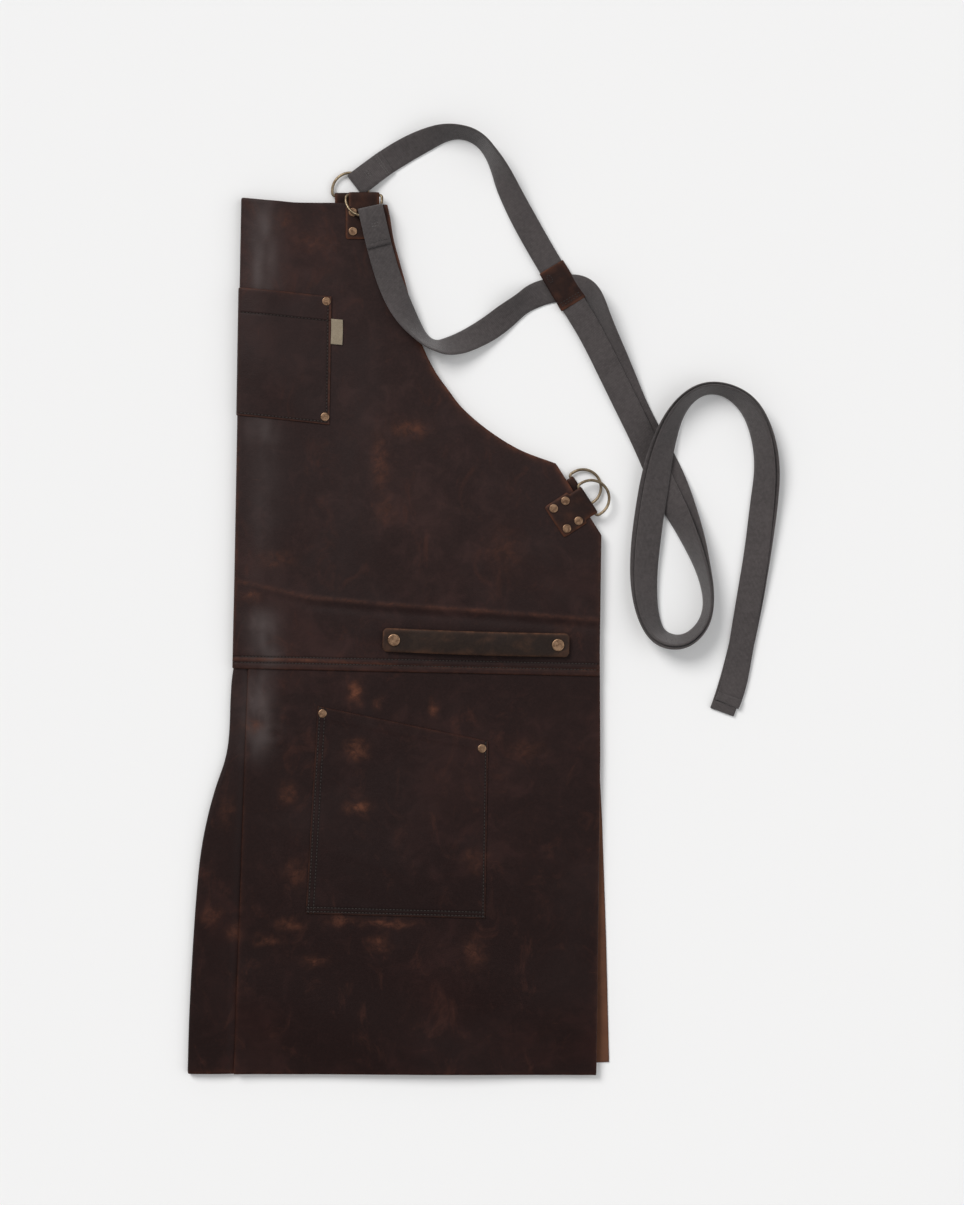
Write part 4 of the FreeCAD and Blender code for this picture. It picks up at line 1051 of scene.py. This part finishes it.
PITCH = 3.4 * MM
seam_rows = [[(x, seam_y(x) + up) for x in np.linspace(-0.176, 0.181, 40)] for up in SEAM_ROWS]
for name, surface, rows, shifts, slot in (
        ("seam_stitches", bib, seam_rows, (0.0, 0.3), "leather"),
        ("chest_pocket_stitches", chest, CHEST_SEAMS, (0.0,) * 3, "pocket_leather"),
        ("leg_pocket_stitches", leg_pocket, LEG_POCKET_SEAMS, (0.0,) * 5, "pocket_leather")):
    skin = surface_of(surface)
    spots = []
    for row, shift in zip(rows, shifts):
        spots += stitch_row(row, PITCH, skin, shift)
    settle(thread_mesh(name, spots), "apron", slot)


# ------------ tabs round the rings

TAB_WIDE, TAB_NECK, NECK_END = 36 * MM, 30 * MM, 0.0125
TAB_TIP, TIP_NARROW = 0.0022, 1.0 * MM
TAB_HIDE = 1.4 * MM
BAR_RADIUS = 1.6 * MM + TAB_HIDE / 2
LEAF_UP = 1.0 * MM + TAB_HIDE / 2
SIDE_TURN = -56.7
# Each tab: its ring's place, its turn in degrees, its level, and its length.
TABS_AT = {
    "chest_tab_front": ((-0.052, 0.495), 0, FRONT_BIB, 0.044),
    "chest_tab_back": ((-0.066, 0.495), 0, BACK_BIB, 0.044),
    "side_tab_front": ((0.171, 0.189), SIDE_TURN, FRONT_BIB, 0.039),
    "side_tab_back": ((0.163, 0.2), SIDE_TURN, BACK_BIB, 0.039),
}


def make_tab(node, centre, turn, level, length):
    """A tab's leather, from the tip of the lower leaf, round the ring's bar, to the tip of the upper leaf."""
    leaf = np.concatenate((np.linspace(-length, -0.014, 16), np.linspace(-NECK_END, -0.003, 9)))
    z_leaf = np.interp(leaf, [-length, -0.007, -0.002], [LEAF_UP, LEAF_UP, BAR_RADIUS])
    turns = np.linspace(math.pi / 2, -math.pi / 2, 13)
    run = np.concatenate((leaf, BAR_RADIUS * np.cos(turns), leaf[::-1]))[:, None]
    z = np.concatenate((z_leaf, BAR_RADIUS * np.sin(turns), -z_leaf[::-1]))[:, None]
    half = np.where(run > -NECK_END, TAB_NECK / 2, TAB_WIDE / 2)
    half = half - clamp((-run - (length - TAB_TIP)) / TAB_TIP) * TIP_NARROW
    share = np.linspace(-1, 1, 15)[None, :]
    x, y = turned(half * share, run * np.ones_like(share), math.radians(turn), centre)
    to_edge = np.minimum((1 - np.abs(share)) * half, (length + run) * np.ones_like(share))
    grid = np.dstack((x, y, (z + level) * np.ones_like(share)))
    tab = sheet_piece(node + "_leather", grid, TAB_HIDE, [TABS, FLESH],
                      pull=clamp(0.5 * noise_at(x, y, 0.012, 31.0)), edge=np.exp(-to_edge / (1.3 * MM)) * 0.9)
    settle(tab, "apron", "tab_leather", node)


for node, tab_values in TABS_AT.items():
    make_tab(node, *tab_values)


# ------------ towel loop

TOWEL_SLOPE = math.radians(-1.75)
TOWEL_CENTRE = (0.06, 0.0475)
TOWEL_HALF, TOWEL_WIDE, TOWEL_THICK = 0.093, 0.023, 1.8 * MM
TOWEL_LEVEL = 13.6 * MM + TOWEL_THICK / 2
TOWEL_CORNER = 0.0045
FREE_HALF = 0.082 - 0.01           # half the run between the studs that can stand up


def make_towel_loop():
    """The loop's leather, which arches between its studs."""
    u = np.concatenate((np.linspace(-1, -0.93, 7), np.linspace(-0.92, 0.92, 80), np.linspace(0.93, 1, 7)))
    u = u[:, None] * TOWEL_HALF
    share = np.linspace(-1, 1, 15)[None, :]
    corner = clamp((np.abs(u) - (TOWEL_HALF - TOWEL_CORNER)) / TOWEL_CORNER)
    half = TOWEL_WIDE / 2 - TOWEL_CORNER * (1 - np.sqrt(np.clip(1 - corner ** 2, 0.06, 1)))
    between = clamp((FREE_HALF - np.abs(u)) / FREE_HALF)
    arch = 2.4 * MM * smooth(between * 2.2) + 0.3 * MM * np.sin(u * 70.0 + 1.0) * smooth(between * 3)
    crown = 0.7 * MM * (1 - share ** 2) * smooth(between * 3)
    sway = 0.0008 * np.sin((u + 0.09) / 0.18 * math.pi)
    x, y = turned(u * np.ones_like(share), half * share - sway, TOWEL_SLOPE, TOWEL_CENTRE)
    to_edge = np.minimum(half - np.abs(half * share), TOWEL_HALF - np.abs(u))
    # The cut edge's colour, painted brighter along the upper edge as a highlight, with less of it along the lower
    # edge as painted shade.
    edge = np.exp(-to_edge / (1.1 * MM)) * (0.45 + 0.55 * (share > 0.3))
    pull = clamp(0.6 * noise_at(x * 0.5, y, 0.01, 41.0))
    grid = np.dstack((x, y, TOWEL_LEVEL + arch + crown))
    return sheet_piece("towel_loop_leather", grid[:, ::-1], TOWEL_THICK, [TOWEL, FLESH], pull=pull[:, ::-1],
                       edge=edge[:, ::-1])


towel = make_towel_loop()
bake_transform(towel)
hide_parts("towel_loop_anchor", "towel_loop_strap")


# ------------ strap keeper

KEEPER_CENTRE = np.array((0.1465, 0.405, 0.00435))
KEEPER_WAY = np.array((0.51578, -0.85672, 0.0))
KEEPER_SIDE = np.cross(UP, KEEPER_WAY)
KEEPER_LONG, KEEPER_WIDE, KEEPER_TALL, KEEPER_HIDE = 0.043, 0.028, 0.0045, 1.2 * MM
KEEPER_ROWS = (0.0145, 0.0175)              # two rows of stitches near its end
SQUARENESS = 0.42
OVAL_AT, OVAL_HALF = (-0.012, -0.0075), (0.0042, 0.0022)


def flattened(turn, half):
    return np.sign(turn) * np.abs(turn) ** SQUARENESS * half


def keeper_grid(where):
    """The sleeve's middle surface: rings round the strap, from one end of the sleeve to the other."""
    turns = np.linspace(0, 2 * math.pi, 49)
    tall = (KEEPER_TALL - KEEPER_HIDE) / 2
    ring_side = flattened(np.cos(turns), (KEEPER_WIDE - KEEPER_HIDE) / 2)
    ring_up = flattened(np.sin(turns), tall)
    grid = []
    for w in where:
        groove = 0.12 * MM * sum(bell(w - at, 0.0012) for at in KEEPER_ROWS)
        lift = ring_up - np.where(ring_up > tall * 0.5, groove, 0)
        skew = 1 + 0.03 * w / KEEPER_LONG
        round_strap = np.outer(ring_side * skew, KEEPER_SIDE) + np.outer(lift, UP)
        grid.append(KEEPER_CENTRE + KEEPER_WAY * w + round_strap)
    return np.array(grid)


keeper_where = KEEPER_LONG * np.concatenate((np.linspace(-0.5, -0.44, 5), np.linspace(-0.42, 0.42, 26),
                                             np.linspace(0.44, 0.5, 5)))
keeper_mid = keeper_grid(keeper_where)
keeper_edge = np.exp(-(KEEPER_LONG / 2 - np.abs(keeper_where)) / (1.4 * MM))
keeper = sheet_piece("strap_keeper_leather", keeper_mid, KEEPER_HIDE, [TABS, FLESH],
                     pull=clamp(0.55 * noise_at(*xy(keeper_mid), 0.01, 51.0)),
                     edge=keeper_edge[:, None] * np.ones(keeper_mid.shape[1]))
settle(keeper, "strap_keeper", "tab_leather", "strap_keeper")


def on_keeper(w, s):
    """The (x, y) place w along the keeper and s across it."""
    return (KEEPER_CENTRE + KEEPER_WAY * w + KEEPER_SIDE * s)[:2]


keeper_skin = surface_of(keeper)
keeper_threads = []
for w in KEEPER_ROWS:
    keeper_threads += stitch_row([on_keeper(w, s) for s in (-0.0115, 0.0115)], 3.0 * MM, keeper_skin)
oval = [on_keeper(OVAL_AT[0] + OVAL_HALF[0] * math.cos(t), OVAL_AT[1] + OVAL_HALF[1] * math.sin(t))
        for t in np.linspace(0, 2 * math.pi, 17)]
keeper_threads += stitch_row(oval, 2.2 * MM, keeper_skin)
settle(thread_mesh("strap_keeper_stitches", keeper_threads), "strap_keeper", "tab_leather")


# ------------ woven label

LABEL_LOW, LABEL_HIGH = 0.346, 0.371
LABEL_LEFT, LABEL_RIGHT = -0.0852, -0.0738
LABEL_LEVEL, LABEL_THICK = 11.55 * MM, 0.35 * MM
LABEL_SLANT = -0.09


def make_label():
    """A short tape folded in half, its fold to the right and its cut ends under the pocket's edge."""
    half = 0.42 * MM
    turns = np.linspace(-math.pi / 2, math.pi / 2, FOLD_COLUMNS)[1:-1]
    run = np.linspace(LABEL_LEFT, LABEL_RIGHT - half, 10)
    across = np.concatenate((run, LABEL_RIGHT - half + half * np.cos(turns), run[::-1]))[None, :]
    rise = np.concatenate((np.full(10, -half), half * np.sin(turns), np.full(10, half)))[None, :]
    rows = np.linspace(LABEL_LOW, LABEL_HIGH, 26)[:, None]
    full = np.ones((len(rows), across.shape[1]))
    wave = 0.25 * MM * np.sin((rows - LABEL_LOW) * 330.0) * smooth((across - LABEL_LEFT) / 0.012)
    sway = 0.0006 * np.sin((rows - LABEL_LOW) * 90)
    slant = (across - LABEL_LEFT) * LABEL_SLANT
    grid = np.dstack((across + sway, rows + slant, LABEL_LEVEL + rise + wave))
    uv = np.dstack((rows * full, arc_lengths(np.column_stack((across[0], rise[0]))) * full))
    return sheet_piece("woven_label_tape", grid, LABEL_THICK, [LABEL], uv=uv)


label = make_label()
settle(label, "apron", "label_cloth", "woven_label")


# ------------ hardware

for node_name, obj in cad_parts.items():
    kind = LEATHER
    if "ring" in node_name:
        kind = BRASS
    elif node_name.startswith(("rivets", "stud")) or "studs" in node_name:
        kind = COPPER
    elif "tab" in node_name or "keeper" in node_name or "towel" in node_name:
        kind = TABS
    obj.data.materials.clear()
    obj.data.materials.append(kind)
